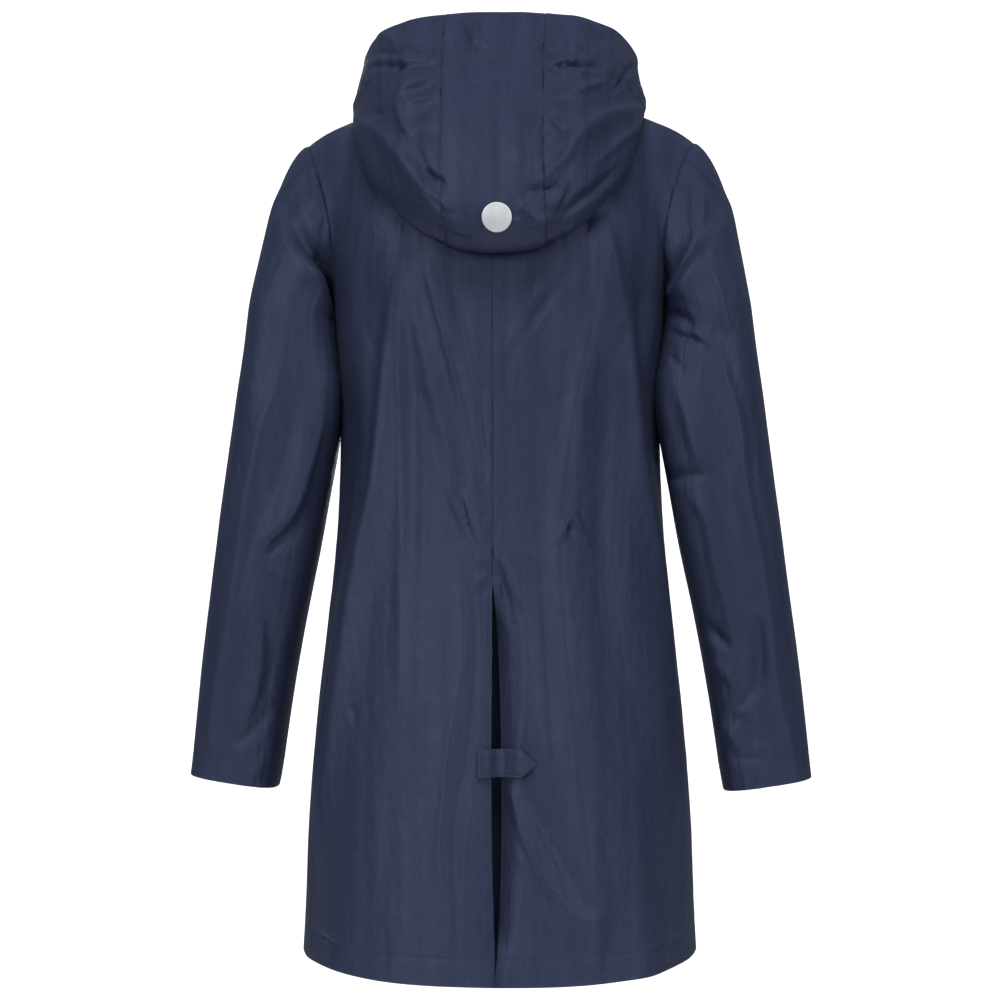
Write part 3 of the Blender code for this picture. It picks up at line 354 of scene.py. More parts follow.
SLEEVE_LEFT_FOLDS = (
    Fold(((230, -77, 0, 6), (227, -93, 3, 7), (221, -114, 5, 7.5), (210, -137, 7, 8), (196, -159, 8.25, 8),
          (183, -173, 8.25, 8), (177, -196, 6.25, 8), (174, -227, 3.75, 8), (172, -268, 0, 8)), lean=-0.62,
          crest=1.6),
    Fold(((216, -89, 0, 6), (209, -116, -3.75, 7), (197, -138, -8, 8), (183, -154, -11.25, 8),
          (174, -170, -10, 8), (170, -194, -5, 7), (168, -227, 0, 6)), crest=1.9),
    Fold(((222, -89, 0, 3.4), (217, -107, 2.25, 3.4), (209, -124, 0, 3.6)), crest=1.8),
    Fold(((226, -83, 0, 4), (222, -101, -4.5, 4.4), (215, -120, -6.25, 4.6), (205, -137, -6.75, 4.8),
          (194, -151, -6.25, 5), (184, -163, 0, 6)), crest=1.8),
    Fold(((201, -48, 0, 3.4), (199, -72, -2.25, 3.4), (196, -109, 0, 3.6)), crest=1.8),
    Fold(((192, -52, 0, 5), (191, -78, 2.25, 5), (188, -108, 0, 5)), crest=1.9),
    Fold(((219, -157, 0, 9), (218, -227, 1.75, 9), (227, -278, 3, 8), (243, -320, 4, 8),
          (253, -361, 3.75, 8), (263, -412, 3.5, 8), (271, -464, 3.5, 7.5), (278, -515, 3.25, 7),
          (286, -567, 3.25, 7), (295, -618, 3, 7), (298, -674, 1.25, 7)), crest=1.7),
    Fold(((203, -217, 0, 11), (206, -268, -1, 12), (216, -330, -3.5, 12), (230, -381, -4, 12),
          (243, -421, -3.25, 10), (258, -464, -2, 8), (268, -509, 0, 8))),
    Fold(((184, -58, 0, 6), (182, -83, -2.5, 7), (181, -108, -3.75, 8), (180, -134, -5, 9),
          (178, -157, -6.25, 8), (174, -181, -3.75, 8), (171, -202, 0, 8)), crest=1.9),
    Fold(((179, -248, 0, 8), (181, -295, 1.75, 8), (186, -330, 3.75, 8), (197, -369, 6, 8.5),
          (207, -402, 6.75, 8.5), (221, -425, 6.25, 8), (237, -444, 4.5, 7), (247, -460, 2, 6),
          (252, -470, 0, 6)), lean=-0.55, crest=1.6),
    Fold(((258, -449, 0, 6), (252, -479, 4, 7), (249, -515, 6, 8), (246, -551, 6.5, 8), (250, -593, 6, 8),
          (258, -618, 4.5, 7), (269, -633, 2, 6), (276, -637, 0, 6)), lean=-0.55, crest=1.6),
    Fold(((245, -464, 0, 5), (235, -451, -4.5, 5.4), (220, -441, -3.25, 6), (204, -431, 0, 8))),
    Fold(((241, -470, 0, 3.4), (230, -479, 2.25, 3.6), (220, -495, 0, 4)), crest=1.8),
    Fold(((278, -652, 0, 4), (267, -648, -3.75, 4.4), (253, -638, -3.75, 4.6), (241, -624, -2, 5),
          (231, -612, 0, 6)), crest=1.8),
    Fold(((243, -662, 0, 6), (250, -677, 2.75, 6.5), (255, -695, 0, 6))),
    Fold(((276, -657, 0, 6), (262, -662, 2, 6), (245, -653, 0, 6))),
)

SLEEVE_RIGHT_FOLDS = (
    Fold(((-234, -83, 0, 6), (-231, -99, 3, 7), (-224, -120, 5, 7.5), (-211, -143, 6.75, 8),
          (-196, -164, 7.75, 8), (-182, -182, 7, 8), (-175, -196, 0, 8)), lean=0.62, crest=1.6),
    Fold(((-218, -95, 0, 5), (-212, -116, -3.5, 6), (-201, -135, -7, 7), (-187, -154, -9.5, 7),
          (-177, -170, -8.25, 7), (-172, -188, 0, 7)), crest=1.9),
    Fold(((-227, -101, 0, 3), (-218, -122, -3, 3), (-208, -139, -2.5, 3), (-200, -151, 0, 3)), crest=1.7),
    Fold(((-199, -72, 0, 4.4), (-200, -98, -3.75, 4.6), (-200, -126, -3.25, 4.6), (-197, -140, 0, 4)),
          crest=1.8),
    Fold(((-208, -68, 0, 4), (-209, -93, 2.25, 4), (-208, -122, 2, 4), (-205, -140, 0, 4)), crest=1.8),
    Fold(((-185, -70, 0, 5), (-187, -97, 2, 5), (-187, -126, 0, 5)), crest=1.9),
    Fold(((-211, -157, 0, 5), (-218, -170, 2.75, 5.6), (-226, -193, 3.25, 6), (-231, -217, 2.5, 6),
          (-234, -233, 0, 6)), crest=1.8),
    Fold(((-206, -180, 0, 3.6), (-210, -201, 2.38, 3.6), (-210, -227, 0, 3.6)), crest=1.7),
    Fold(((-218, -202, 0, 6), (-222, -237, 3.75, 6.4), (-229, -268, 4.75, 6.6), (-239, -299, 5.25, 6.6),
          (-247, -332, 5.25, 6.6), (-250, -371, 5, 6.6), (-256, -407, 5, 6.6), (-265, -448, 5, 6.6),
          (-271, -484, 5, 6.6), (-277, -526, 5, 6.6), (-281, -567, 5, 6.6), (-287, -608, 4.5, 6.6),
          (-296, -644, 3.75, 6.6), (-304, -680, 2, 7)), lean=-0.2, crest=1.6),
    Fold(((-169, -208, 0, 5), (-179, -210, -5, 5.4), (-192, -217, -5, 5.4), (-197, -229, -2.5, 4.6),
          (-202, -237, 0, 4)), crest=1.8),
    Fold(((-173, -227, 0, 4), (-185, -233, -3.75, 4), (-200, -238, -3, 4), (-212, -241, 0, 4)), crest=1.8),
    Fold(((-190, -223, 0, 3.6), (-200, -230, 2.75, 3.6), (-212, -237, 2.25, 4), (-220, -248, 0, 5)),
          crest=1.8),
    Fold(((-171, -250, 0, 4), (-181, -260, -2, 4), (-190, -270, 0, 4)), crest=1.9),
    Fold(((-181, -278, 0, 8), (-190, -309, 3.25, 8), (-198, -340, 3.75, 8), (-206, -363, 2.5, 7),
          (-210, -375, 0, 6)), lean=0.4, crest=1.8),
    Fold(((-167, -379, 0, 5), (-181, -377, -5, 5.4), (-200, -375, -4.5, 5), (-214, -375, 0, 4.4)),
          crest=1.8),
    Fold(((-192, -402, 0, 6), (-204, -408, 3.25, 7), (-214, -425, 3.5, 8), (-220, -460, 3.25, 8),
          (-229, -495, 3.25, 8), (-237, -528, 2.5, 7), (-239, -546, 0, 6)), lean=0.4, crest=1.8),
    Fold(((-206, -524, 0, 6), (-218, -538, -4.25, 6), (-231, -549, -4.25, 5), (-239, -556, 0, 5)),
          crest=1.8),
    Fold(((-220, -563, 0, 6), (-229, -577, 3, 6.6), (-239, -589, 2.5, 6), (-245, -602, 0, 6)), crest=1.9),
    Fold(((-262, -517, 0, 5), (-266, -540, -4.5, 5.6), (-268, -567, -5.5, 6), (-263, -592, -5.5, 6),
          (-251, -610, -4.75, 6), (-237, -624, -2.5, 6), (-225, -631, 0, 6)), crest=1.9),
    Fold(((-251, -517, 0, 3.6), (-262, -518, 2.38, 3.6), (-272, -526, 0, 3.6)), crest=1.8),
    Fold(((-222, -631, 0, 4), (-239, -629, -3.5, 4), (-255, -631, -3.5, 4), (-268, -637, 0, 4)), crest=1.7),
    Fold(((-229, -637, 0, 5), (-239, -647, 2.5, 5), (-245, -660, 0, 5)), crest=1.9),
    Fold(((-247, -639, 0, 7), (-258, -647, -3.5, 7.5), (-264, -662, 0, 7))),
    Fold(((-237, -670, 0, 4), (-251, -668, -3.25, 4), (-266, -667, -3, 4), (-276, -670, 0, 4)), crest=1.7),
    Fold(((-266, -670, 0, 3.6), (-267, -684, 2, 3.6), (-268, -699, 0.75, 3.6)), crest=1.8),
)

FRONT_LEFT_FOLDS = (
    Fold(((96, -230, 0, 12), (104, -330, 1.2, 11), (112, -470, 2, 10), (124, -640, 2.4, 10),
          (132, -780, 2, 10), (134, -862, 1.4, 11)), lean=0.3, crest=1.8),
    Fold(((58, -420, 0, 10), (60, -560, 1.4, 10), (66, -700, 1.8, 11), (70, -862, 1, 12)), crest=1.9),
    Fold(((150, -250, 0, 8), (146, -330, -1.6, 9), (150, -450, -1.8, 9), (160, -560, 0, 9))),
    Fold(((140, -150, 0, 6), (128, -190, 1.4, 6), (112, -236, 1.2, 7), (96, -280, 0, 8)), crest=1.8),
)
FRONT_RIGHT_FOLDS = (
    Fold(((-92, -240, 0, 12), (-98, -340, 1.4, 11), (-108, -480, 2.2, 10), (-116, -650, 2.2, 10),
          (-128, -790, 2, 10), (-130, -862, 1.2, 11)), lean=-0.3, crest=1.8),
    Fold(((-54, -500, 0, 10), (-60, -600, 1.6, 10), (-64, -740, 1.6, 11), (-72, -862, 1, 12)), crest=1.9),
    Fold(((-152, -260, 0, 8), (-148, -350, -1.8, 9), (-152, -470, -1.6, 9), (-162, -580, 0, 9))),
    Fold(((-138, -140, 0, 6), (-126, -185, 1.5, 6), (-108, -230, 1.2, 7), (-94, -270, 0, 8)), crest=1.8),
)
SLEEVE_FRONT_FOLDS = (
    Fold(((196, -240, 0, 8), (214, -300, 1.6, 8), (226, -360, 1.4, 8), (236, -420, 0, 9)), crest=1.8),
    Fold(((198, -392, 0, 6), (214, -404, -2, 6), (232, -402, -1.8, 6), (250, -390, 0, 6)), crest=1.7),
    Fold(((204, -420, 0, 7), (222, -430, 1.6, 7), (244, -426, 1.4, 7), (262, -412, 0, 7)), crest=1.8),
    Fold(((262, -500, 0, 9), (272, -580, 1.4, 9), (282, -650, 1, 9), (288, -700, 0.5, 9))),
)


class Pucker(NamedTuple):
    """Small gathers that run in from a sewn edge.

    spread holds levels and how strong the gathers are there. reach is how far they run in, step their
    size along the seam, and slant how much they lean down as they run in.
    """
    edge: Edge
    spread: Table
    reach: float
    step: float
    slant: float
    seed: int


BACK_PUCKERS = {
    Side.LEFT: (
        Pucker(Edge.FIRST, ((-560, 0), (-520, 0.5), (-482, 1.6), (-450, 1.0), (-400, 0.45), (-330, 0.25),
                            (-150, 0.3)), 11, 15, 0.8, 11),
        Pucker(Edge.LAST, ((-860, 0.3), (-600, 0.3), (-300, 0.4), (-205, 0.7), (-120, 0.5), (-60, 0.5),
                           (-35, 0.3)), 8, 13, 0.3, 12),
        Pucker(Edge.FIRST, ((-872, 0.5), (-700, 0.5), (-600, 0.7), (-500, 0.6), (-478, 0)), 6, 11, 0.2, 13),
    ),
    Side.RIGHT: (
        Pucker(Edge.FIRST, ((-560, 0), (-520, 0.4), (-482, 1.7), (-450, 0.9), (-400, 0.4), (-330, 0.25),
                            (-150, 0.3)), 12, 14, 0.8, 21),
        Pucker(Edge.LAST, ((-860, 0.3), (-600, 0.3), (-300, 0.4), (-205, 0.8), (-120, 0.7), (-60, 0.5),
                           (-35, 0.3)), 9, 13, 0.3, 22),
    ),
}
FRONT_PUCKERS = (
    Pucker(Edge.LAST, ((-860, 0.3), (-600, 0.3), (-300, 0.4), (-205, 0.7), (-120, 0.5), (-35, 0.3)),
           8, 13, 0.3, 31),
)
SLEEVE_SEAM_GATHERS = ((-760, 0.6), (-640, 0.3), (-100, 0.1))
SLEEVE_HEAD_GATHERS = ((-210, 0.9), (-150, 0.9), (-80, 0.5), (-50, 0.0))
SLEEVE_SINKS = -0.3             # clearance at which a sleeve rests on the body
HOOD_PUCKERS = {
    "hood_centre": (
        Pucker(Edge.FIRST, ((-160, 0.2), (-120, 0.6), (0, 0.7), (40, 0.9), (70, 0.3), (81, 0.1)),
               9, 9, 0.3, 41),
        Pucker(Edge.LAST, ((-160, 0.2), (-120, 0.2), (0, 0.25), (40, 0.6), (70, 0.3), (81, 0.1)),
               7, 10, 0.3, 42),
    ),
    "hood_left": (
        Pucker(Edge.FIRST, ((-160, 0.4), (-120, 1.2), (-70, 1.2), (0, 1.2), (40, 1.3), (70, 0.4), (81, 0.1)),
               11, 8, 0.25, 43),
    ),
    "hood_right": (
        Pucker(Edge.FIRST, ((-160, 0.4), (-120, 1.0), (-70, 1.0), (0, 1.0), (40, 1.2), (70, 0.6), (81, 0.1)),
               11, 8, 0.25, 44),
    ),
}

BODY_FOLDS = {
    Face.BACK: {Side.LEFT: BACK_LEFT_FOLDS, Side.RIGHT: BACK_RIGHT_FOLDS},
    Face.FRONT: {Side.LEFT: FRONT_LEFT_FOLDS, Side.RIGHT: FRONT_RIGHT_FOLDS},
}
BODY_PUCKERS = {Face.BACK: BACK_PUCKERS, Face.FRONT: dict.fromkeys(Side, FRONT_PUCKERS)}
SLEEVE_FOLDS = {Side.LEFT: SLEEVE_LEFT_FOLDS, Side.RIGHT: SLEEVE_RIGHT_FOLDS}

# ---------------------------------------------------------------- numbers and curves

NOISE_SIZE = 61
EDGE_STEPS = (0.15, 0.4, 0.8, 1.6)              # places that round an open edge
STITCH_STEPS = (-2.6, -1.3, 0, 1.3, 2.6)        # places round a row of stitches


def hermite(t: Array, start: Array, leave: Array, end: Array, arrive: Array) -> Array:
    """The curve that leaves one point and arrives at another with given slopes, for t from 0 to 1."""
    return (
        (2 * t ** 3 - 3 * t ** 2 + 1) * start
        + (t ** 3 - 2 * t ** 2 + t) * leave
        + (3 * t ** 2 - 2 * t ** 3) * end
        + (t ** 3 - t ** 2) * arrive
    )


def smooth(rows: Table, at: Array | float) -> Array:
    """Read a table along smooth curves through its rows.

    Args:
        rows: stations in order, each followed by its values.
        at: one or more stations to read.

    Returns:
        An array with one more axis than `at`, for the values.
    """
    table = np.asarray(rows, float)
    stations, values = table[:, 0], table[:, 1:]
    slopes = np.gradient(values, stations, axis=0)
    at = np.clip(np.asarray(at, float), stations[0], stations[-1])
    low = np.clip(np.searchsorted(stations, at, side="right") - 1, 0, len(stations) - 2)
    span = (stations[low + 1] - stations[low])[..., None]
    t = (at - stations[low])[..., None] / span
    return hermite(t, values[low], span * slopes[low], values[low + 1], span * slopes[low + 1])


def read(rows: Table, at: Array | float) -> Array:
    """Read a table of two columns along straight lines through its rows."""
    return np.interp(at, *zip(*rows))


def unit(vectors: Array) -> Array:
    """The same directions at length one."""
    return vectors / np.linalg.norm(vectors, axis=-1, keepdims=True)


def ease(low: float, high: float, at: Array) -> Array:
    """A soft step from 0 at `low` to 1 at `high`."""
    t = np.clip((at - low) / (high - low), 0, 1)
    return t * t * (3 - 2 * t)


def bell(away: Array, width: float, power: float = 2) -> Array:
    """1 at no distance, fading out softly over a width."""
    return np.exp(-(away / width) ** power)


def noise(seed: int, *ways: Array) -> Array:
    """Smooth noise from -1 to 1, with one array of places for each of its directions."""
    values = np.random.default_rng(seed).uniform(-1, 1, (NOISE_SIZE,) * len(ways))
    at = np.stack(ways, axis=-1)
    low = np.floor(at).astype(int)
    t = at - low
    t = t ** 3 * (6 * t ** 2 - 15 * t + 10)
    total = np.zeros(at.shape[:-1])
    for corner in product((0, 1), repeat=len(ways)):
        near = np.prod([t[..., i] if up else 1 - t[..., i] for i, up in enumerate(corner)], axis=0)
        place = tuple((low[..., i] + up) % NOISE_SIZE for i, up in enumerate(corner))
        total += near * values[place]
    return total


def run_lengths(points: Array, axis: int) -> Array:
    """How far each point of a grid is along its row or column, in millimetres."""
    steps = np.linalg.norm(np.diff(points, axis=axis), axis=-1)
    zero = np.zeros_like(np.take(steps, [0], axis=axis))
    return np.concatenate([zero, np.cumsum(steps, axis=axis)], axis=axis)


def graded(length: float, step: float, fine: Sequence[float]) -> Array:
    """Even places along a length, about a step apart, with some fine ones put in exactly."""
    even = np.linspace(0, length, max(2, round(length / step) + 1))
    wanted = np.array(sorted(fine))
    clear = np.abs(even[:, None] - wanted).min(axis=1) > step * 0.45
    clear[[0, -1]] = True
    wanted = wanted[(wanted > 0.01) & (wanted < length - 0.01)]
    return np.unique(np.concatenate([even[clear], wanted]))


def hem_steps(depth: float) -> list[float]:
    """The fine places of a hem, at its edge and its stitches."""
    return [*EDGE_STEPS, *(depth + step for step in STITCH_STEPS)]


def quads(rows: int, columns: int) -> Array:
    """The faces between the points of a grid, by the points' numbers."""
    spots = np.arange(rows * columns).reshape(rows, columns)
    corners = spots[:-1, :-1], spots[:-1, 1:], spots[1:, 1:], spots[1:, :-1]
    return np.stack(corners, -1).reshape(-1, 4)


@dataclass(frozen=True)
class Outlook:
    """A level look at the coat, on which its folds are laid out flat.

    Attributes:
        toward: the direction from the coat's middle to the eye.
        distance: how far the eye is, in millimetres.
        level: the eye's level.
    """
    toward: tuple[float, float]
    distance: float
    level: float = -402.0

    def lay(self, points: Array) -> Array:
        """Where points appear, as places across to the wearer's left and levels."""
        toward = np.array([*self.toward, 0.0])
        left = np.array([abs(self.toward[1]), self.toward[0] * -np.sign(self.toward[1]), 0.0])
        nearness = 1 - points @ toward / self.distance
        across = points @ left / nearness
        return np.stack([across, (points[..., 2] - self.level) / nearness + self.level], axis=-1)

    def shows(self, normals: Array) -> Array:
        """How far each part faces the eye, from 0 to 1."""
        return ease(-0.05, 0.3, normals @ np.array([*self.toward, 0.0]))


FROM_BEHIND = Outlook((-0.0576, 0.9983), 2500.0)
FROM_FRONT = Outlook((0.0, -1.0), 1e7)


def fold_rise(folds: Sequence[Fold], places: Array) -> Array:
    """How far folds lift places on the flat look, given across and by level in the last axis."""
    rise = np.zeros(places.shape[:-1])
    for fold in folds:
        stations = np.array(fold.stations, float)
        order = np.arange(len(stations), dtype=float)
        fine = np.linspace(0, order[-1], 6 * len(stations))
        path = smooth(np.column_stack([order, stations]), fine)
        margin = 2.6 * stations[:, 3].max() / (1 - abs(fold.lean))
        low, high = path[:, :2].min(axis=0) - margin, path[:, :2].max(axis=0) + margin
        near = np.all((places > low) & (places < high), axis=-1)
        spots = places[near]
        if not len(spots):
            continue
        start, ahead = path[:-1, :2], np.diff(path[:, :2], axis=0)
        away = spots[:, None] - start
        along = np.clip((away * ahead).sum(-1) / (ahead ** 2).sum(-1), 0, 1)
        away = away - along[..., None] * ahead
        length = np.hypot(away[..., 0], away[..., 1])
        best = length.argmin(axis=1)
        pick = np.arange(len(spots)), best
        part = along[pick]
        height = (1 - part) * path[best, 2] + part * path[best + 1, 2]
        width = (1 - part) * path[best, 3] + part * path[best + 1, 3]
        turn = ahead[best, 0] * away[pick][:, 1] - ahead[best, 1] * away[pick][:, 0]
        reach = length[pick] / width * (1 + fold.lean * np.sign(turn))
        rise[near] += height * np.exp(-(reach ** 2 + 0.02) ** (fold.crest / 2))
    return rise


# ---------------------------------------------------------------- meshes

def add_mesh(name: str, points: Sequence, faces: Sequence, finishes: Sequence[bpy.types.Material] = (),
             sharp: float | None = None, edges: Sequence = ()) -> bpy.types.Object:
    """Add a mesh to the scene at the origin.

    Args:
        name: the mesh's and the object's name.
        points: its points, in metres.
        faces: the corners of each face.
        finishes: its materials.
        sharp: the angle from which an edge stays sharp, in degrees, or all are soft.
        edges: the ends of each edge that has no face.

    Returns:
        The new object.
    """
    mesh = bpy.data.meshes.new(name)
    mesh.from_pydata(points, edges, faces)
    for finish in finishes:
        mesh.materials.append(finish)
    mesh.shade_smooth()
    if sharp is not None:
        mesh.set_sharp_from_angle(angle=math.radians(sharp))
    return add_object(mesh)


def add_object(mesh: bpy.types.Mesh) -> bpy.types.Object:
    """Add an object for a mesh to the scene at the origin."""
    made = bpy.data.objects.new(mesh.name, mesh)
    bpy.context.scene.collection.objects.link(made)
    return made


def add_rings(name: str, rings: Sequence[Array], finish: bpy.types.Material,
              sharp: float | None = None) -> bpy.types.Object:
    """Add a closed mesh through rings of points, in millimetres, from its underside to its top."""
    sides = len(rings[0])
    faces = []
    for low in range(0, sides * (len(rings) - 1), sides):
        for step in range(sides):
            a, b = low + step, low + (step + 1) % sides
            faces.append((a, b, b + sides, a + sides))
    top = sides * (len(rings) - 1)
    faces += [tuple(range(top, top + sides)), tuple(range(sides))[::-1]]
    return add_mesh(name, (np.concatenate(rings) * METRES).tolist(), faces, [finish], sharp)


# ---------------------------------------------------------------- cut pieces

class Line(NamedTuple):
    """A line on the cloth: its points and the directions out of the cloth there."""
    points: Array
    normals: Array


@dataclass
class Panel:
    """A cut piece of cloth, as a grid of points on its outer side.

    Attributes:
        name: the solid that it stands for.
        points: rows, columns and places, in millimetres.
        turn: 1 where rows and columns turn so that the grid faces outwards, else -1.
        sewn: for each sewn edge, which of its points are sewn.
        wall: how thick the cloth is drawn.
        across: how far each point is along its row as the piece is cut, and `along` down its column.
        worn: how rubbed the cloth is at each point, or below 0 how much shade is painted in there.
        cut: its width, length and area as cut, in metres.
    """
    name: str
    points: Array
    turn: int
    sewn: dict[Edge, Array] = field(default_factory=dict)
    wall: float = 0.7
    normals: Array = field(init=False)
    across: Array = field(init=False)
    along: Array = field(init=False)
    thickness: Array = field(init=False)
    worn: Array = field(init=False)
    cut: tuple[float, float, float] = field(init=False)
    stitching: list[Line] = field(default_factory=list)

    def __post_init__(self) -> None:
        """Measure the piece as it is cut, before it has any folds."""
        self.face_out()
        self.across = run_lengths(self.points, 1)
        self.along = run_lengths(self.points, 0)
        self.thickness = np.full(self.points.shape[:2], self.wall)
        self.worn = np.zeros(self.points.shape[:2])
        sides = self.points[1:, :-1] - self.points[:-1, 1:], self.points[1:, 1:] - self.points[:-1, :-1]
        area = np.linalg.norm(np.cross(*sides), axis=-1).sum() / 2
        width, length = self.across.max(), self.along.max()
        self.cut = (width * METRES, length * METRES, min(area, width * length) * METRES ** 2)

    def face_out(self) -> None:
        """Work out the direction out of the cloth at every point."""
        columns, rows = np.gradient(self.points, axis=1), np.gradient(self.points, axis=0)
        self.normals = unit(np.cross(columns, rows) * self.turn)

    def from_edge(self, edge: Edge) -> Array:
        """How far every point is from an edge, in millimetres."""
        return {
            Edge.FIRST: self.across,
            Edge.LAST: self.across[:, -1:] - self.across,
            Edge.START: self.along,
            Edge.END: self.along[-1:] - self.along,
        }[edge]

    def run(self, edge: Edge) -> Array:
        """How far every point is along an edge, in millimetres."""
        return self.across if edge.level else self.along

    def seam(self, edge: Edge) -> Array:
        """1 where an edge is sewn and 0 where it is open, ready to combine with the whole grid."""
        sewn = self.sewn[edge].astype(float)
        return sewn[None, :] if edge.level else sewn[:, None]

    def sewn_spots(self) -> list[tuple[int, int]]:
        """The row and column of each point of the sewn edges."""
        rows, columns = self.points.shape[:2]
        spots = []
        for edge, sewn in self.sewn.items():
            for index in np.flatnonzero(sewn).tolist():
                if edge.level:
                    spots.append(((rows - 1) * (edge is Edge.END), index))
                else:
                    spots.append((index, (columns - 1) * (edge is Edge.LAST)))
        return spots

    def lift(self, rise: Array) -> None:
        """Move every point out of the cloth by its rise."""
        self.points = self.points + self.normals * rise[..., None]

    def groove(self, edge: Edge, depth: float = 0.7, width: float = 2.0) -> Array:
        """The rise, below zero, of the groove along a seam."""
        return -depth * bell(self.from_edge(edge), width) * self.seam(edge)

    def shade_seam(self, edge: Edge, strength: float, width: float = 0.8,
                   where: Array | None = None) -> None:
        """Paint shade into the cloth down along a seam, or along an edge where `where` says, unevenly along
        it.
        """
        sewn = self.seam(edge) if where is None else where
        mottle = 0.5 * min(1.0, 0.8 / width)
        uneven = np.clip(0.72 + mottle * noise(170 + len(self.name), self.run(edge) / 3.1), 0, 1)
        shade = strength * uneven * bell(self.from_edge(edge), width) * sewn
        self.worn = np.where(shade > 0.02, np.minimum(self.worn, -shade), self.worn)

    def rub(self, strength: Array) -> None:
        """Wear the cloth pale where it isn't yet as rubbed."""
        self.worn = np.maximum(self.worn, strength)

    def gather(self, pucker: Pucker, where: Array | float = 1.0) -> Array:
        """The rise of small gathers along an edge, and how strongly they show at each point."""
        away, run = self.from_edge(pucker.edge), self.run(pucker.edge)
        strength = read(pucker.spread, self.points[..., 2])
        waves = noise(pucker.seed, (run + pucker.slant * away) / pucker.step)
        waves = waves + 0.6 * noise(pucker.seed + 500, run / pucker.step * 1.7, away / pucker.reach)
        shape = bell(away, pucker.reach, 1.5) * (1 - 0.8 * bell(away, 1.5, 1))
        return strength * waves * shape * where

    def round_off(self, edge: Edge, radius: float = 0.9, where: Array | float = 1.0) -> None:
        """Round an open edge, as a turned or folded edge is."""
        near = np.clip(1 - self.from_edge(edge) / radius, 0, 1)
        drawn = (1 - np.sqrt(1 - near ** 2 * 0.999)) * where
        self.lift(-drawn * self.thickness / 2)
        self.thickness = self.thickness * (1 - drawn)

    def turn_in(self, edge: Edge, depth: float, wall: float) -> None:
        """Double the cloth along an open edge, down to a row of stitches, and round the edge.

        Args:
            edge: the open edge.
            depth: how far in the cloth is doubled.
            wall: how thick it is there.
        """
        away = self.from_edge(edge)
        doubled = 1 - ease(depth - 0.9, depth + 0.9, away)
        self.thickness = self.thickness + (wall - self.thickness) * doubled
        waves = noise(len(self.name) + 70, self.run(edge) / 9, away / 14)
        self.lift(-0.4 * bell(away - depth, 1.3) + 0.28 * waves * bell(away - depth, 9))
        self.rub(bell(away, 1.6))
        self.round_off(edge)

    def at(self, rows: Array, columns: Array) -> Line:
        """Points between those of the grid, and the directions out of the cloth there."""
        r = np.clip(np.floor(rows).astype(int), 0, self.points.shape[0] - 2)
        c = np.clip(np.floor(columns).astype(int), 0, self.points.shape[1] - 2)
        t, s = (rows - r)[:, None], (columns - c)[:, None]
        found = [
            (1 - t) * (1 - s) * grid[r, c] + (1 - t) * s * grid[r, c + 1]
            + t * (1 - s) * grid[r + 1, c] + t * s * grid[r + 1, c + 1]
            for grid in (self.points, self.normals)
        ]
        return Line(found[0], unit(found[1]))

    def stitch(self, edge: Edge, distance: float, keep: Array | None = None) -> None:
        """Lay a line of stitches at an even distance in from an edge.

        Args:
            edge: the edge that the line follows.
            distance: how far in, in millimetres.
            keep: which of the edge's points the line runs past, or all.
        """
        away = self.from_edge(edge).T if edge.level else self.from_edge(edge)
        numbers = np.arange(away.shape[1], dtype=float)
        order = slice(None, None, -1 if edge in (Edge.LAST, Edge.END) else 1)
        found = np.array([np.interp(distance, row[order], numbers[order]) for row in away])
        index = np.arange(len(found), dtype=float)
        if keep is not None:
            found, index = found[keep], index[keep]
        self.stitching.append(self.at(found, index) if edge.level else self.at(index, found))

    def make(self, outer: bpy.types.Material, inner: bpy.types.Material) -> bpy.types.Object:
        """Add the piece as a closed mesh, with its weave laid out on it.

        Args:
            outer: the finish of its outer side and rim.
            inner: the finish of its inner side.

        Returns:
            The new object.
        """
        rows, columns = self.points.shape[:2]
        count = rows * columns
        spots = np.arange(count).reshape(rows, columns)
        outside = quads(rows, columns)
        inside = outside[:, ::-1] + count
        loop = np.concatenate([spots[0], spots[1:, -1], spots[-1, -2::-1], spots[-2:0:-1, 0]])
        after = np.roll(loop, -1)
        rim = np.stack([after, loop, loop + count, after + count], -1)
        faces = np.concatenate([outside, rim, inside])[:, ::self.turn]
        under = self.points - self.normals * self.thickness[..., None]
        points = np.concatenate([self.points.reshape(-1, 3), under.reshape(-1, 3)]) * METRES
        made = add_mesh(self.name, points.tolist(), faces.tolist(), [outer, inner], sharp=70)
        mesh = made.data
        which = np.r_[np.zeros(len(outside) + len(rim), int), np.ones(len(inside), int)]
        mesh.polygons.foreach_set("material_index", which)
        flat = np.stack([self.across, self.along], -1).reshape(-1, 2) * METRES
        corners = np.empty(len(mesh.loops), int)
        mesh.loops.foreach_get("vertex_index", corners)
        weave = mesh.uv_layers.new(name="weave")
        weave.data.foreach_set("uv", np.concatenate([flat, flat])[corners].ravel())
        worn = mesh.attributes.new("worn", "FLOAT", "POINT")
        worn.data.foreach_set("value", np.tile(self.worn.ravel(), 2).astype(np.float32))
        return made


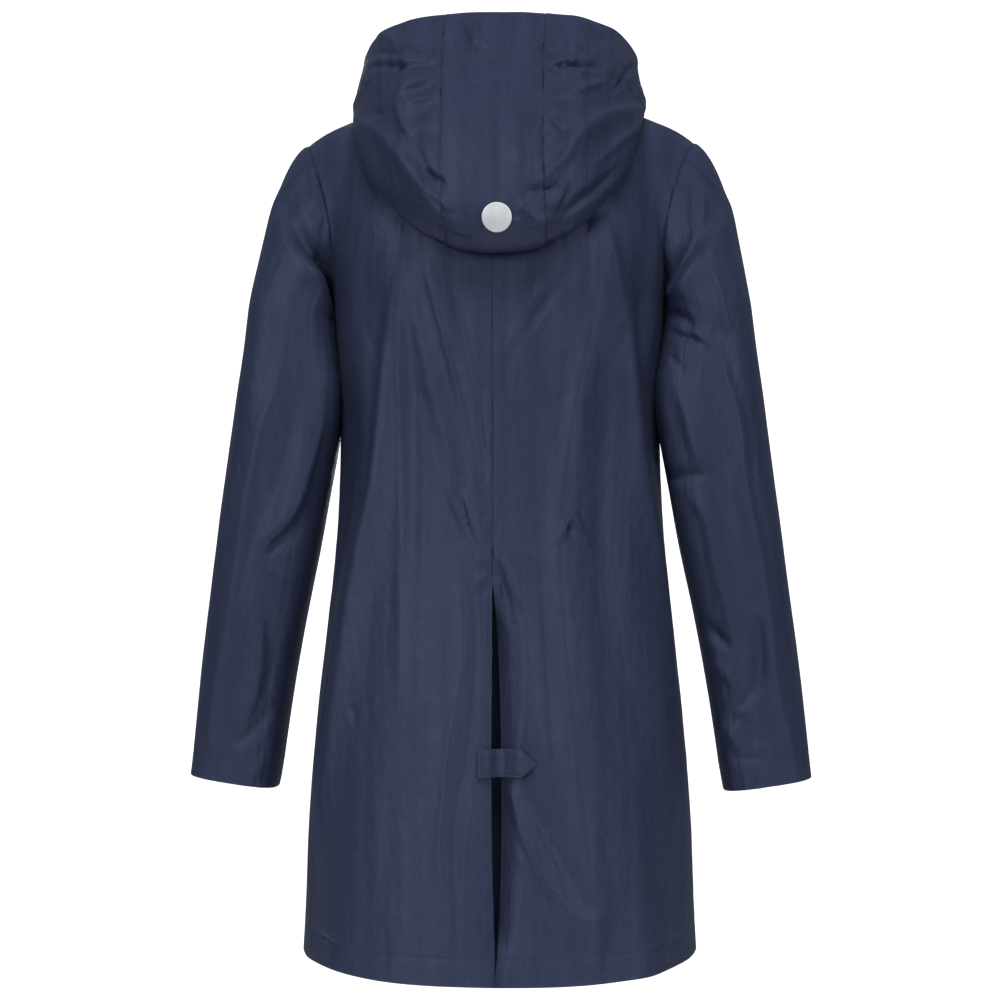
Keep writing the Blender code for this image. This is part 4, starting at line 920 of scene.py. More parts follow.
class Seams:
    """Where cut pieces are sewn to one another."""

    def __init__(self, panels: Sequence[Panel], reach: float = 0.05) -> None:
        """Find the points of sewn edges that lie together.

        Args:
            panels: pieces that are sewn, before they are lifted into folds.
            reach: how close two points are to be one, in millimetres.
        """
        listed = list(dict.fromkeys(
            (index, *spot) for index, panel in enumerate(panels) for spot in panel.sewn_spots()))
        places = [Vector(panels[index].points[row, column]) for index, row, column in listed]
        tree = KDTree(len(listed))
        for number, place in enumerate(places):
            tree.insert(place, number)
        tree.balance()
        self.panels = panels
        self.groups: list[list[tuple[int, int, int]]] = []
        done: set[int] = set()
        for number, place in enumerate(places):
            if number not in done:
                near = [n for _, n, _ in tree.find_range(place, reach)]
                done.update(near)
                if len(near) > 1:
                    self.groups.append([listed[n] for n in near])

    def share_normals(self) -> None:
        """Make pieces that lie in line at a seam face the same way there."""
        for group in self.groups:
            normals = [self.panels[i].normals[r, c].copy() for i, r, c in group]
            for (i, r, c), own in zip(group, normals):
                self.panels[i].normals[r, c] = unit(sum(n for n in normals if own @ n > 0.2))

    def close(self) -> None:
        """Bring the points of a seam together again after folds have moved them."""
        for group in self.groups:
            middle = sum(self.panels[i].points[r, c] for i, r, c in group) / len(group)
            for i, r, c in group:
                self.panels[i].points[r, c] = middle


def surface(panels: Iterable[Panel]) -> BVHTree:
    """A search tree over the outer side of some pieces."""
    points, faces = [], []
    for panel in panels:
        faces += (quads(*panel.points.shape[:2])[:, ::panel.turn] + len(points)).tolist()
        points += panel.points.reshape(-1, 3).tolist()
    return BVHTree.FromPolygons(points, faces)


def clear_of(tree: BVHTree, point: Array, clearance: float, past_edge: float) -> Array:
    """Move a point straight out from a surface until it is clear of it.

    Args:
        tree: the surface.
        point: the point to clear.
        clearance: how far out it should be, in millimetres.
        past_edge: a point further sideways than this from the surface is left where it is.

    Returns:
        The point, moved where need be.
    """
    nearest, normal, _, _ = tree.find_nearest(Vector(point))
    nearest, normal = np.array(nearest), np.array(normal)
    height = (point - nearest) @ normal
    if height >= clearance or np.linalg.norm(point - nearest - height * normal) > past_edge:
        return point
    return point + normal * (clearance - height)


def cast(tree: BVHTree, x: float, z: float, facing: int = 1) -> tuple[Array, Array]:
    """The point of a surface straight in front of, or behind, a place, and its normal there."""
    hit, normal, _, _ = tree.ray_cast(Vector((x, FAR * facing, z)), Vector((0, -facing, 0)))
    return np.array(hit), np.array(normal)


def behind(tree: BVHTree, point: Array, clearance: float) -> Array:
    """Move a point straight back until it is clear of the surface in front of it."""
    hit, normal = cast(tree, point[0], point[2])
    if not hit.ndim:
        return point
    level = hit[1] + clearance / max(abs(normal[1]), 0.45)
    return point if point[1] >= level else np.array([point[0], level, point[2]])


def streaks(panel: Panel, seed: int, rise: float = 0.16) -> Array:
    """The faint long unevenness of hanging cloth."""
    sizes = ((13, 120, 1.0), (34, 210, 2.2), (22, 26, 0.5))     # across, along and strength
    return rise * sum(strength * noise(seed + 100 * index, panel.across / wide, panel.along / long)
                      for index, (wide, long, strength) in enumerate(sizes))


# ---------------------------------------------------------------- body

@dataclass
class CoatBody:
    """The two backs and the two fronts."""
    sections: Table = BODY_SECTIONS
    hem_level: float = -860.0
    underarm_level: float = -205.0
    hem_drop: float = 12.5
    outline_power: float = 0.9
    fold_fade: float = 0.7
    neck_share: float = 5 / 12
    vent_top: float = -478.0
    row_step: float = 4.0
    yoke_rows: int = 66
    neck_columns: int = 40
    shoulder_columns: int = 60
    waist_passes: int = 160
    hem_depth: float = 27.0
    hem_wall: float = 1.5
    vent_stitch: float = 9.0
    vent_wall: float = 1.3
    bar_length: float = 17.0
    lap_reach: float = 45.0
    vent_rolls: dict[Side, tuple[float, float]] = field(
        default_factory=lambda: {Side.LEFT: (-2.4, 10.0), Side.RIGHT: (-13.0, 13.0)})
    # how strongly and how wide shade is painted along each back's edge beside the vent
    vent_shade: dict[Side, tuple[float, float]] = field(
        default_factory=lambda: {Side.LEFT: (0.35, 7.0), Side.RIGHT: (1.0, 8.0)})
    streak_seeds: dict[Face, int] = field(default_factory=lambda: {Face.BACK: 11, Face.FRONT: 31})
    panels: dict[tuple[Face, Side], Panel] = field(default_factory=dict)

    def outline(self, half_width: float, depth: float, shares: Array) -> tuple[Array, Array, float]:
        """A quarter of the coat's outline at one level.

        Args:
            half_width: half the coat's width there.
            depth: how far its back or front stands out.
            shares: shares of the way from the middle to the side seam.

        Returns:
            The places across and outwards, and the length of the quarter.
        """
        turn = np.linspace(0, math.pi / 2, 181)
        x = half_width * np.sin(turn) ** self.outline_power
        y = depth * np.cos(turn) ** self.outline_power
        length = np.r_[0, np.cumsum(np.hypot(np.diff(x), np.diff(y)))]
        at = shares * length[-1]
        return np.interp(at, length, x), np.interp(at, length, y), float(length[-1])

    def level(self, place: float) -> float:
        """The level of a skirt's row, from 0 at the hem to 1 at the underarm."""
        return self.hem_level + (self.underarm_level - self.hem_level) * place

    def skirt_row(self, face: Face, level: float, shares: Array) -> Array:
        """A row of points between hem and underarm."""
        half_width, back, front = smooth(self.sections, level)
        x, y, _ = self.outline(half_width, back if face is Face.BACK else -front, shares)
        up = (level - self.hem_level) / (self.underarm_level - self.hem_level)
        drop = self.hem_drop * (1 - up) ** 2 * (1 - np.sin(shares * math.pi / 2) ** 4)
        return np.stack([x, y, level - drop], axis=1)

    def neck_point(self, face: Face, share: Array) -> Array:
        """Points of the neckline, from 0 at the centre line to 1 at the shoulder seam."""
        half_width, depth, low, rise, straight = NECKS[face]
        out = np.cos(share * math.pi / 2)
        height = low + rise * (1 - straight * out - (1 - straight) * out ** 2)
        return np.stack([half_width * np.sin(share * math.pi / 2), depth * out, height], axis=-1)

    def top_edge(self, face: Face, shares: Array) -> Array:
        """The neckline and then the shoulder seam, as one edge."""
        neck = self.neck_point(face, np.clip(shares / self.neck_share, 0, 1))
        seam = smooth(SHOULDER_SEAM, np.clip((shares - self.neck_share) / (1 - self.neck_share), 0, 1))
        return np.where((shares <= self.neck_share)[:, None], neck, seam)

    def yoke_row(self, face: Face, height: float, shares: Array) -> Array:
        """A row of points above the underarm, at a share of the yoke's height."""
        under = self.skirt_row(face, self.underarm_level, shares)
        over = self.top_edge(face, shares)
        middle, armhole = smooth(CENTRE_LINES[face], height), smooth(ARMHOLES[face], height)
        along = shares[:, None] ** 2
        patch = (1 - height) * under + height * over + (1 - along) * middle + along * armhole
        corners = (1 - height) * ((1 - along) * under[0] + along * under[-1])
        corners += height * ((1 - along) * over[0] + along * over[-1])
        crown = 4 * height * (1 - height) * np.sin(shares * math.pi)[:, None] ** 2
        return patch - corners + crown * np.array(YOKE_ROUNDING[face])

    def row(self, face: Face, side: Side, place: float, shares: Array) -> Array:
        """A row of a panel, from 0 at the hem to 1 at the underarm and 2 at the top."""
        if place > 1:
            return self.yoke_row(face, place - 1, shares)
        level = self.level(place)
        row = self.skirt_row(face, level, shares)
        half_width, back, front = smooth(self.sections, level)
        depth = back if face is Face.BACK else front
        outward = unit(np.stack([row[:, 0] / half_width ** 2, row[:, 1] / depth ** 2, 0 * shares], axis=1))
        length = np.linalg.norm(np.diff(row, axis=0), axis=1).sum()
        rise = np.zeros_like(shares)
        for width, steps in DRAPES[face, side]:
            if steps[0][0] <= level <= steps[-1][0]:
                share, height = smooth(steps, level)
                rise += height * np.exp(-((shares - share) * length / width) ** 2)
        held = np.sin(np.clip(shares, 0, 1) * math.pi) ** self.fold_fade
        return row + outward * (rise * held)[:, None]

    def places(self) -> Array:
        """Where the rows lie, finer near the hem and its stitching."""
        height = self.underarm_level - self.hem_level
        skirt = graded(height, self.row_step, hem_steps(self.hem_depth)) / height
        return np.r_[skirt, 1 + np.linspace(0, 1, self.yoke_rows + 1)[1:]]

    def shares(self, face: Face) -> Array:
        """Where the columns lie, finer near the vent and its stitching."""
        neck = np.linspace(0, self.neck_share, self.neck_columns + 1)
        if face is Face.BACK:
            neck = np.unique(np.r_[neck, np.array(VENT_STEPS) / BACK_GIRTH])
        return np.r_[neck, np.linspace(self.neck_share, 1, self.shoulder_columns + 1)[1:]]

    def panel(self, face: Face, side: Side) -> Panel:
        """Lay out one panel, before its small folds."""
        shares, places = self.shares(face), self.places()
        rows = []
        for place in places:
            level, edge = self.level(place), 0.0
            if face is Face.BACK and side is Side.RIGHT and level < self.vent_top:
                half_width, back, _ = smooth(self.sections, level)
                quarter = self.outline(half_width, back, np.zeros(1))[2]
                edge = float(smooth(VENT_OPENING, level)[0]) / quarter
            rows.append(self.row(face, side, place, edge + (1 - edge) * shares))
        points = self.ease_waist(np.array(rows), places)
        if face is Face.BACK and side is Side.LEFT:
            points[..., 0] -= read(VENT_LAP, points[:, :1, 2]) * bell(points[..., 0], self.lap_reach)
        points = points * (side.value, 1, 1)
        every_row, every_column = np.ones(len(places), bool), np.ones(len(shares), bool)
        first = points[:, 0, 2] > self.vent_top - 1 if face is Face.BACK else every_row
        turn = -side.value if face is Face.BACK else side.value
        sewn = {Edge.FIRST: first, Edge.LAST: every_row, Edge.END: every_column}
        return Panel(f"{face.value}_{side.word}", points, turn, sewn)

    def ease_waist(self, points: Array, places: Array) -> Array:
        """Take the kink out of a panel where the skirt meets the yoke, but not at its armhole."""
        near = bell(places - 1, np.where(places < 1, 0.05, 0.13))[:, None]
        free = near * (1 - np.linspace(0, 1, points.shape[1]) ** 10)
        for _ in range(self.waist_passes):
            bend = points[:-2] + points[2:] - 2 * points[1:-1]
            points[1:-1, :, :2] += 0.3 * free[1:-1, :, None] * bend[..., :2]
        return points

    def lay_out(self) -> list[Panel]:
        """Lay out the four panels."""
        self.panels = {(face, side): self.panel(face, side) for face in Face for side in Side}
        return list(self.panels.values())

    def drape(self) -> None:
        """Give the panels their folds, grooves and gathers."""
        for (face, side), panel in self.panels.items():
            outlook = FROM_BEHIND if face is Face.BACK else FROM_FRONT
            rise = fold_rise(BODY_FOLDS[face][side], outlook.lay(panel.points)) * outlook.shows(panel.normals)
            rise += streaks(panel, self.streak_seeds[face] + side.value * 7)
            for pucker in BODY_PUCKERS[face][side]:
                rise += panel.gather(pucker)
            if face is Face.BACK:
                rise += panel.groove(Edge.FIRST, depth=0.8, width=0.8)
            rise += panel.groove(Edge.LAST)
            rise += panel.groove(Edge.END)
            if face is Face.BACK:
                rise += self.vent_roll(panel, *self.vent_rolls[side])
            panel.lift(rise)

    def vent_roll(self, panel: Panel, depth: float, reach: float) -> Array:
        """How a back panel's edge rolls in beside the vent."""
        level = panel.points[:, :1, 2]
        down = ease(0, 60, self.vent_top - level) * ease(-880, -800, level)
        return depth * bell(panel.from_edge(Edge.FIRST), reach, 1.6) * down

    def finish_edges(self) -> None:
        """Turn in the hem and the vent's edges, and paint shade into the seams and along the vent's edges."""
        for (face, side), panel in self.panels.items():
            panel.face_out()
            if face is Face.BACK:
                opened = 1 - panel.seam(Edge.FIRST)
                away = panel.from_edge(Edge.FIRST)
                doubled = (1 - ease(self.vent_stitch - 1, self.vent_stitch + 1, away)) * opened
                panel.thickness = panel.thickness + (self.vent_wall - panel.thickness) * doubled
                groove = -0.35 * bell(away - self.vent_stitch, 1.1) * opened
                panel.lift(groove if side is Side.LEFT else groove * 0.4)
                panel.round_off(Edge.FIRST, where=opened)
                panel.rub(0.3 * bell(away, 1.0) * opened)
            panel.turn_in(Edge.START, self.hem_depth, self.hem_wall)
            if face is Face.BACK:
                # painted shade down the centre back seam, then along each back's edge beside the vent
                panel.shade_seam(Edge.FIRST, 0.6)
                turned = opened * ease(0, 50, self.vent_top - panel.points[:, :1, 2])
                panel.shade_seam(Edge.FIRST, *self.vent_shade[side], where=turned)
            # painted shade down the side seam
            panel.shade_seam(Edge.LAST, 0.6)

    def sew(self) -> None:
        """Lay the lines of stitches that show on the body."""
        for panel in self.panels.values():
            panel.stitch(Edge.START, self.hem_depth)
        panel = self.panels[Face.BACK, Side.LEFT]
        opened = np.flatnonzero(~panel.sewn[Edge.FIRST])
        panel.stitch(Edge.FIRST, self.vent_stitch, opened)
        top = opened[-1]
        reach = np.interp([1.0, self.bar_length], panel.across[top], np.arange(panel.across.shape[1]))
        columns = np.linspace(*reach, 12)
        for step in (0, 2):
            panel.stitching.append(panel.at(np.full(12, float(top - step)), columns))


# ---------------------------------------------------------------- sleeves

@dataclass
class Sleeve:
    """One two-piece sleeve."""
    side: Side
    sections: Table = SLEEVE_SECTIONS
    tilt: float = math.radians(8.7)
    swing: float = 0.0
    nestles: Table = ((0, 4.5), (60, 6.0), (140, 4.4), (220, 1.4), (300, 0.0), (486, 0.0))
    fullness: float = 0.72
    ring_turns: Table = ((0, 0), (4, 62), (10, 180), (17, 310), (20, 360))
    back_seam: int = 4
    front_seam: int = 17
    ring_columns: int = 20
    head_leaves: Table = ((0.25, -1.0), (1.0, -0.45))
    head_fans: float = 0.35
    head_pull: float = 0.55
    step: float = 3.2
    head_rows: int = 34
    arm_length: float = 486.0
    cuff_depth: float = 27.0
    cuff_wall: float = 1.5
    panels: dict[str, Panel] = field(default_factory=dict)

    def ring(self, sections: Array, turns: Array) -> Array:
        """Points of rings round the arm, by their turn from the body side."""
        x, y, z, half_width, half_depth = np.moveaxis(np.asarray(sections, float), -1, 0)
        cosine, sine = np.cos(turns), np.sin(turns)
        across = -half_width * np.sign(cosine) * np.abs(cosine) ** self.fullness
        return np.stack([
            x + across * math.cos(self.tilt),
            y + half_depth * np.sign(sine) * np.abs(sine) ** self.fullness,
            z + across * math.sin(self.tilt),
        ], axis=-1)

    def armhole(self, columns: Array) -> Array:
        """The armhole at columns of the ring, from the underarm round the back."""
        columns = columns % self.ring_columns
        top = self.ring_columns / 2
        back = smooth(ARMHOLES[Face.BACK], np.clip(columns / top, 0, 1))
        front = smooth(ARMHOLES[Face.FRONT], np.clip((self.ring_columns - columns) / top, 0, 1))
        return np.where((columns <= top)[:, None], back, front)

    def crease_rise(self, shares: Array, turns: Array) -> Array:
        """How far the soft folds lift points of the arm."""
        rise = 0.0
        for share, turn, slope, reach, width, height in SLEEVE_CREASES[self.side]:
            away = (np.degrees(turns) - turn + 180) % 360 - 180
            line = share + slope * away
            rise = rise + height * np.exp(-((shares - line) / width) ** 2 - (away / reach) ** 2)
        return rise

    def grid(self, columns: Array) -> Array:
        """The sleeve's rows from the armhole to the cuff, at some columns of its ring."""
        turns = np.radians(read(self.ring_turns, columns % self.ring_columns))
        inward = np.maximum(0, np.cos(turns)) ** 2
        start, end = self.armhole(columns), self.ring(self.sections[0], turns)
        end[:, 0] -= inward * self.nestles[0][1]
        reach = np.linalg.norm(end - start, axis=-1, keepdims=True)
        over = ((1 - np.cos(turns)) / 2)[:, None]
        leaves = (1 - over) * np.array(self.head_leaves[0]) + over * np.array(self.head_leaves[1])
        leave = unit(np.stack([leaves[:, 0], self.head_fans * np.sin(turns), leaves[:, 1]], axis=-1))
        arrive = np.array([math.sin(self.tilt), 0, -math.cos(self.tilt)])
        t = np.linspace(0, 1, self.head_rows + 1)[:-1, None, None]
        head = hermite(t, start, reach * self.head_pull * leave, end, reach * arrive)
        fine = [self.arm_length - step for step in hem_steps(self.cuff_depth)]
        shares = graded(self.arm_length, self.step, fine) / self.arm_length
        table = [(row, *section) for row, section in enumerate(self.sections)]
        rings = smooth(table, shares * (len(table) - 1))[:, None, :].repeat(len(columns), axis=1)
        rings[..., 0] += self.swing * shares[:, None]
        rings[..., 0] -= inward * smooth(self.nestles, shares * self.arm_length)
        rise = self.crease_rise(shares[:, None], turns[None, :]) * np.minimum(1, 6 * shares)[:, None]
        rings[..., 3:] += rise[..., None]
        arm = self.ring(rings, np.broadcast_to(turns, rise.shape))
        return np.concatenate([head, arm]) * (self.side.value, 1, 1)

    def lay_out(self, yoke_rows: int) -> list[Panel]:
        """Lay out the upper and the under piece, to meet the rows of the body's yoke."""
        step = 10 / yoke_rows
        last = self.ring_columns + self.back_seam
        spans = {"upper": (self.back_seam, self.front_seam), "under": (self.front_seam, last)}
        for word, (low, high) in spans.items():
            points = self.grid(np.arange(round(low / step), round(high / step) + 1) * step)
            rows, columns = np.ones(points.shape[0], bool), np.ones(points.shape[1], bool)
            sewn = {Edge.START: columns, Edge.FIRST: rows, Edge.LAST: rows}
            name = f"sleeve_{word}_{self.side.word}"
            self.panels[word] = Panel(name, points, self.side.value, sewn)
        return list(self.panels.values())

    def drape(self) -> None:
        """Give the sleeve its folds, grooves and gathers."""
        side = self.side.value
        head = Pucker(Edge.START, SLEEVE_HEAD_GATHERS, 14, 12, 0.4, 64 + side)
        for word, panel in self.panels.items():
            rise = streaks(panel, 40 + side * 5 + len(word), rise=0.2)
            for outlook, folds, mirror in (
                (FROM_BEHIND, SLEEVE_FOLDS[self.side], 1), (FROM_FRONT, SLEEVE_FRONT_FOLDS, side),
            ):
                places = outlook.lay(panel.points * (mirror, 1, 1))
                rise += fold_rise(folds, places) * outlook.shows(panel.normals)
            rise += panel.groove(Edge.START, width=2.4)
            for edge in (Edge.FIRST, Edge.LAST):
                rise += panel.groove(edge, depth=0.3)
                rise += panel.gather(Pucker(edge, SLEEVE_SEAM_GATHERS, 8, 12, 0.3, 60 + side))
            rise += panel.gather(head)
            panel.lift(rise)

    def settle(self, coat: BVHTree) -> None:
        """Let the sleeve rest against the body where it hangs beside it."""
        for panel in self.panels.values():
            for row in panel.points[2:]:
                for column in range(len(row)):
                    row[column] = clear_of(coat, row[column], SLEEVE_SINKS, past_edge=0.8)

    def finish_edges(self) -> None:
        """Turn in the cuff and paint shade into the armhole's seam."""
        for panel in self.panels.values():
            panel.face_out()
            panel.turn_in(Edge.END, self.cuff_depth, self.cuff_wall)
            panel.shade_seam(Edge.START, 0.7, 1.2)

    def sew(self) -> None:
        """Lay the line of stitches round the cuff."""
        for panel in self.panels.values():
            panel.stitch(Edge.END, self.cuff_depth)


# ---------------------------------------------------------------- hood

@dataclass
class Hood:
    """The three-panel hood, lowered on the back."""
    columns_per_place: int = 16
    row_step: float = 2.8
    seam_place: float = 2.0
    last_place: float = 9.0
    outer_from: float = 1.25
    channel_lines: tuple[float, float] = (49.0, 68.0)
    brim_stitch: float = 3.0
    seam_stitch: float = 2.2
    panels: dict[str, Panel] = field(default_factory=dict)
    places: dict[str, Array] = field(default_factory=dict)
    outer: Array = field(default_factory=lambda: np.zeros(0))

    def runs(self) -> Array:
        """Where the rows lie, by the stops from the neck seam, 0, to the brim, 7."""
        path = np.concatenate([[NECK_STOP], self.stops(np.array([1.0]))[0]])
        fine = np.linspace(0, 7, 400)
        length = run_lengths(smooth(np.column_stack([np.arange(8.0), path]), fine), 0)
        wanted = [length[-1] - step for step in EDGE_STEPS]
        return np.interp(graded(length[-1], self.row_step, wanted), length, fine)

    def stops(self, places: Array) -> Array:
        """The stand, lay, fold, low, belly, channel and brim points at places along the neckline."""
        rows = [tuple(map(float, section)) for section in HOOD_SECTIONS]
        mirrored = [(-row[0], *(np.reshape(row[1:], (-1, 3)) * (-1, 1, 1)).ravel()) for row in rows[:0:-1]]
        stops = smooth([*mirrored, *rows], np.abs(places)).reshape(len(places), -1, 3)
        stops[..., 0] *= np.where(places < 0, -1, 1)[:, None]
        stops[..., 0] += smooth(HOOD_LEAN, stops[..., 2])[..., 0]
        return stops

    def neck_seam(self, body: CoatBody, place: float) -> Array:
        """A point of the coat's neck edge, at a place along the neckline."""
        side = Side.LEFT if place >= 0 else Side.RIGHT
        away = abs(place)
        face = Face.BACK if away <= 5 else Face.FRONT
        share = (away if away <= 5 else 10 - away) / 5
        return body.neck_point(face, np.array(share)) * (side.value, 1, 1)

    def column(self, body: CoatBody, coat: BVHTree, place: float, stops: Array, runs: Array) -> Array:
        """The points from the neck seam to the brim at one place, clear of the coat."""
        path = np.concatenate([self.neck_seam(body, place)[None], stops])
        column = smooth(np.column_stack([np.arange(8.0), path]), runs)
        for index, at in enumerate(runs):
            clearance = float(read(HOOD_CLEARANCE, at))
            if at > 0.9:
                column[index] = behind(coat, column[index], clearance)
            else:
                column[index] = clear_of(coat, column[index], clearance, past_edge=clearance)
        return column

    def lay_out(self, body: CoatBody, coat: BVHTree) -> list[Panel]:
        """Lay out the three panels.

        Args:
            body: the coat's body, whose neckline the hood is sewn to.
            coat: its surface, which the hood stays clear of.

        Returns:
            The three panels.
        """
        runs = self.runs()
        self.outer = ease(self.outer_from - 0.15, self.outer_from + 0.35, runs)[:, None]
        seam, last = (round(place * self.columns_per_place) for place in (self.seam_place, self.last_place))
        side = np.arange(seam, last + 1) / self.columns_per_place
        centre = np.arange(-seam, seam + 1) / self.columns_per_place
        for name, places, turn in (("centre", centre, -1), ("left", side, -1), ("right", -side, 1)):
            columns = [self.column(body, coat, *at, runs) for at in zip(places, self.stops(places))]
            rows = np.ones(len(runs), bool)
            sewn = {Edge.START: np.ones(len(places), bool), Edge.FIRST: rows}
            if name == "centre":
                sewn[Edge.LAST] = rows
            name = f"hood_{name}"
            self.panels[name] = Panel(name, np.array(columns).transpose(1, 0, 2), turn, sewn)
            self.places[name] = places
        return list(self.panels.values())

    def drape(self) -> None:
        """Give the hood its folds, seams and gathers."""
        for name, panel in self.panels.items():
            shows = FROM_BEHIND.shows(panel.normals)
            rise = fold_rise(HOOD_FOLDS, FROM_BEHIND.lay(panel.points)) * (shows * self.outer)
            rise += streaks(panel, 80 + len(name), rise=0.22) * self.outer
            for pucker in HOOD_PUCKERS[name]:
                rise += panel.gather(pucker, self.outer)
            for edge in panel.sewn:
                if not edge.level:
                    rise += panel.groove(edge, depth=0.5, width=0.8)
            panel.lift(rise + self.channel(panel) * (0.15 + 0.85 * shows))

    def channel(self, panel: Panel) -> Array:
        """The drawn-up channel along the brim: two grooves, and gathers between and round them."""
        away = panel.from_edge(Edge.END)
        low, high = self.channel_lines
        depth = 0.3 if panel.name == "hood_centre" else 0.55
        middle = (away - (low + high) / 2) / ((high - low) / 2)
        rise = -depth * (bell(away - low, 1.6) + bell(away - high, 1.6))
        rise += 0.4 * depth * bell(middle, 0.8, 4)
        waves = noise(90 + len(panel.name), panel.across / 9, away / 16)
        waves += 0.8 * noise(95 + len(panel.name), panel.across / 5, away / 6)
        return rise + 1.3 * waves * bell(np.abs(middle), 1.8)

    def settle(self, coat: BVHTree) -> None:
        """Keep the hood clear of the coat, and its neck edge on the coat's."""
        for name, panel in self.panels.items():
            for index, row in enumerate(panel.points[1:], 1):
                for column in range(len(row)):
                    row[column] = clear_of(coat, row[column], min(2.0, 0.4 * index), past_edge=1.5)
            between = np.flatnonzero(np.abs(self.places[name] * 8 % 1) > 0.01)
            edge = panel.points[0]
            edge[between] = (edge[between - 1] + edge[between + 1]) / 2

    def finish_edges(self) -> None:
        """Round the brim and paint shade into the seams."""
        for panel in self.panels.values():
            panel.face_out()
            away = panel.from_edge(Edge.END)
            panel.thickness = panel.thickness + 0.7 * (1 - ease(self.channel_lines[1], 60, away))
            panel.rub(bell(away, 2.0))
            panel.round_off(Edge.END)
            for edge in panel.sewn:
                if not edge.level:
                    panel.shade_seam(edge, 0.42)

    def sew(self) -> None:
        """Lay the stitches along the channel, the seams and the brim."""
        outer = np.flatnonzero(self.outer[:, 0] > 0.5)
        for panel in self.panels.values():
            for distance in (*self.channel_lines, self.brim_stitch):
                panel.stitch(Edge.END, distance)
            for edge in panel.sewn:
                if not edge.level:
                    panel.stitch(edge, self.seam_stitch, outer)


# ---------------------------------------------------------------- vent, flap, studs and badge

def rounded(length: float, step: float, radius: float) -> Array:
    """Places along a strip, closer together at its two rounded ends."""
    near = [radius * share for share in (0.08, 0.28, 0.6, 1.0)]
    return graded(length, step, near + [length - place for place in near])


@dataclass
class Vent:
    """The underlay behind the back vent, and the tab that bridges it."""
    gusset_left: float = 46.0
    gusset_right: float = -58.0
    gusset_sink: float = 24.0
    gusset_top_sink: float = 0.25
    gusset_sinks_over: float = 90.0
    gusset_top: float = -470.0
    gusset_bottom: float = -868.0
    lowest_seat: float = -866.0
    gusset_shade: float = 0.8
    panel_wall: float = 1.5
    laid_on: float = 0.7
    tab_ends: tuple[float, float] = (12.5, -43.5)
    tab_shoulder: float = -29.0
    tab_levels: tuple[float, float] = (-671.5, -644.0)
    tab_wall: float = 2.4
    tab_blunt: float = 0.06
    tab_stands_off: float = 2.2
    tab_stitch: float = 2.6
    tab_bar: float = 13.5
    tab_point: float = 1.5

    def gusset(self, base: BVHTree) -> Panel:
        """The underlay: flush inside both back panels, sunk between them, and with shade painted down its
        middle.
        """
        levels = graded(self.gusset_top - self.gusset_bottom, 4.0, (0.15, 0.4, 0.8)) + self.gusset_bottom
        shares = np.linspace(0, 1, 41)
        x = self.gusset_right + (self.gusset_left - self.gusset_right) * shares
        rows = []
        for level in levels:
            seat = max(level, self.lowest_seat)
            sides = [cast(base, side, seat)[0][1] for side in (self.gusset_right, self.gusset_left)]
            down = (self.gusset_top - level) / self.gusset_sinks_over
            sink = self.gusset_sink * min(1.0, self.gusset_top_sink + (1 - self.gusset_top_sink) * down)
            line = sides[0] + (sides[1] - sides[0]) * shares
            y = line - self.panel_wall - self.laid_on - sink * np.sin(math.pi * shares) ** 2
            rows.append(np.stack([x, y, np.full_like(x, level)], axis=1))
        panel = Panel("vent_gusset", np.array(rows), -1)
        middle = bell(panel.across - panel.across[:, -1:] / 2, 16)
        panel.lift(streaks(panel, 130, rise=0.4) * middle)
        # shade painted down the underlay's middle, where it lies deep in the vent
        panel.worn = np.minimum(panel.worn, -self.gusset_shade * middle)
        panel.face_out()
        return panel

    def tab_seats(self, body: BVHTree, along: Array) -> Array:
        """How far out the cloth lies under the tab, smoothed, at places along it."""
        low, high = self.tab_levels
        hits = [[cast(body, x, level)[0] for level in np.linspace(low + 3, high - 3, 5)]
                for x in self.tab_ends[0] - along]
        tops = np.array([max((hit[1] for hit in row if hit.ndim), default=math.nan) for row in hits])
        seen = ~np.isnan(tops)
        tops = np.interp(along, along[seen], tops[seen])
        seats = np.convolve(np.pad(tops, 4, mode="edge"), np.ones(9) / 9, mode="valid")
        return seats + (tops - seats).max()

    def tab(self, body: BVHTree) -> Panel:
        """The pointed tab, a folded strip that stands a little off the cloth at its point."""
        low, high = self.tab_levels
        start, end = self.tab_ends
        middle = (low + high) / 2
        along = rounded(start - end, 1.3, 1.0)
        sides = rounded(high - low, 1.3, 1.0) / (high - low)
        columns = []
        for x, seat in zip(start - along, self.tab_seats(body, along)):
            share = float(np.interp(x, (end, self.tab_shoulder), (self.tab_blunt, 1.0)))
            levels = middle + (low + (high - low) * sides - middle) * share
            out = self.tab_stands_off * ((start - x) / (start - end)) ** 1.5
            y = seat + self.laid_on * 0.6 + self.tab_wall + out
            columns.append(np.stack([np.full_like(levels, x), np.full_like(levels, y), levels], axis=1))
        panel = Panel("vent_tab", np.array(columns).transpose(1, 0, 2), 1, wall=self.tab_wall)
        near = np.min([panel.from_edge(edge) for edge in Edge], axis=0)
        rise = 0.35 * (1 - bell(near, 4)) - 0.45 * bell(near - self.tab_stitch, 0.9)
        rise += 0.25 * noise(140, panel.across / 8, panel.along / 9)
        rise -= 0.4 * bell(panel.across - self.tab_bar, 1.0)
        panel.lift(rise)
        panel.face_out()
        panel.worn = bell(near, 1.2)
        for edge in Edge:
            panel.round_off(edge, radius=1.0)
        down, across = panel.along[:, 5], panel.across[0]
        inner = np.interp([self.tab_stitch, down[-1] - self.tab_stitch], down, np.arange(len(down)))
        ends = [self.tab_stitch, self.tab_bar, across[-1] - self.tab_stitch - self.tab_point]
        first, bar, last = np.interp(ends, across, np.arange(len(across)))
        for row in inner:
            panel.stitching.append(panel.at(np.full(60, row), np.linspace(first, last, 60)))
        for column in (first, bar):
            panel.stitching.append(panel.at(np.linspace(*inner, 20), np.full(20, column)))
        return panel


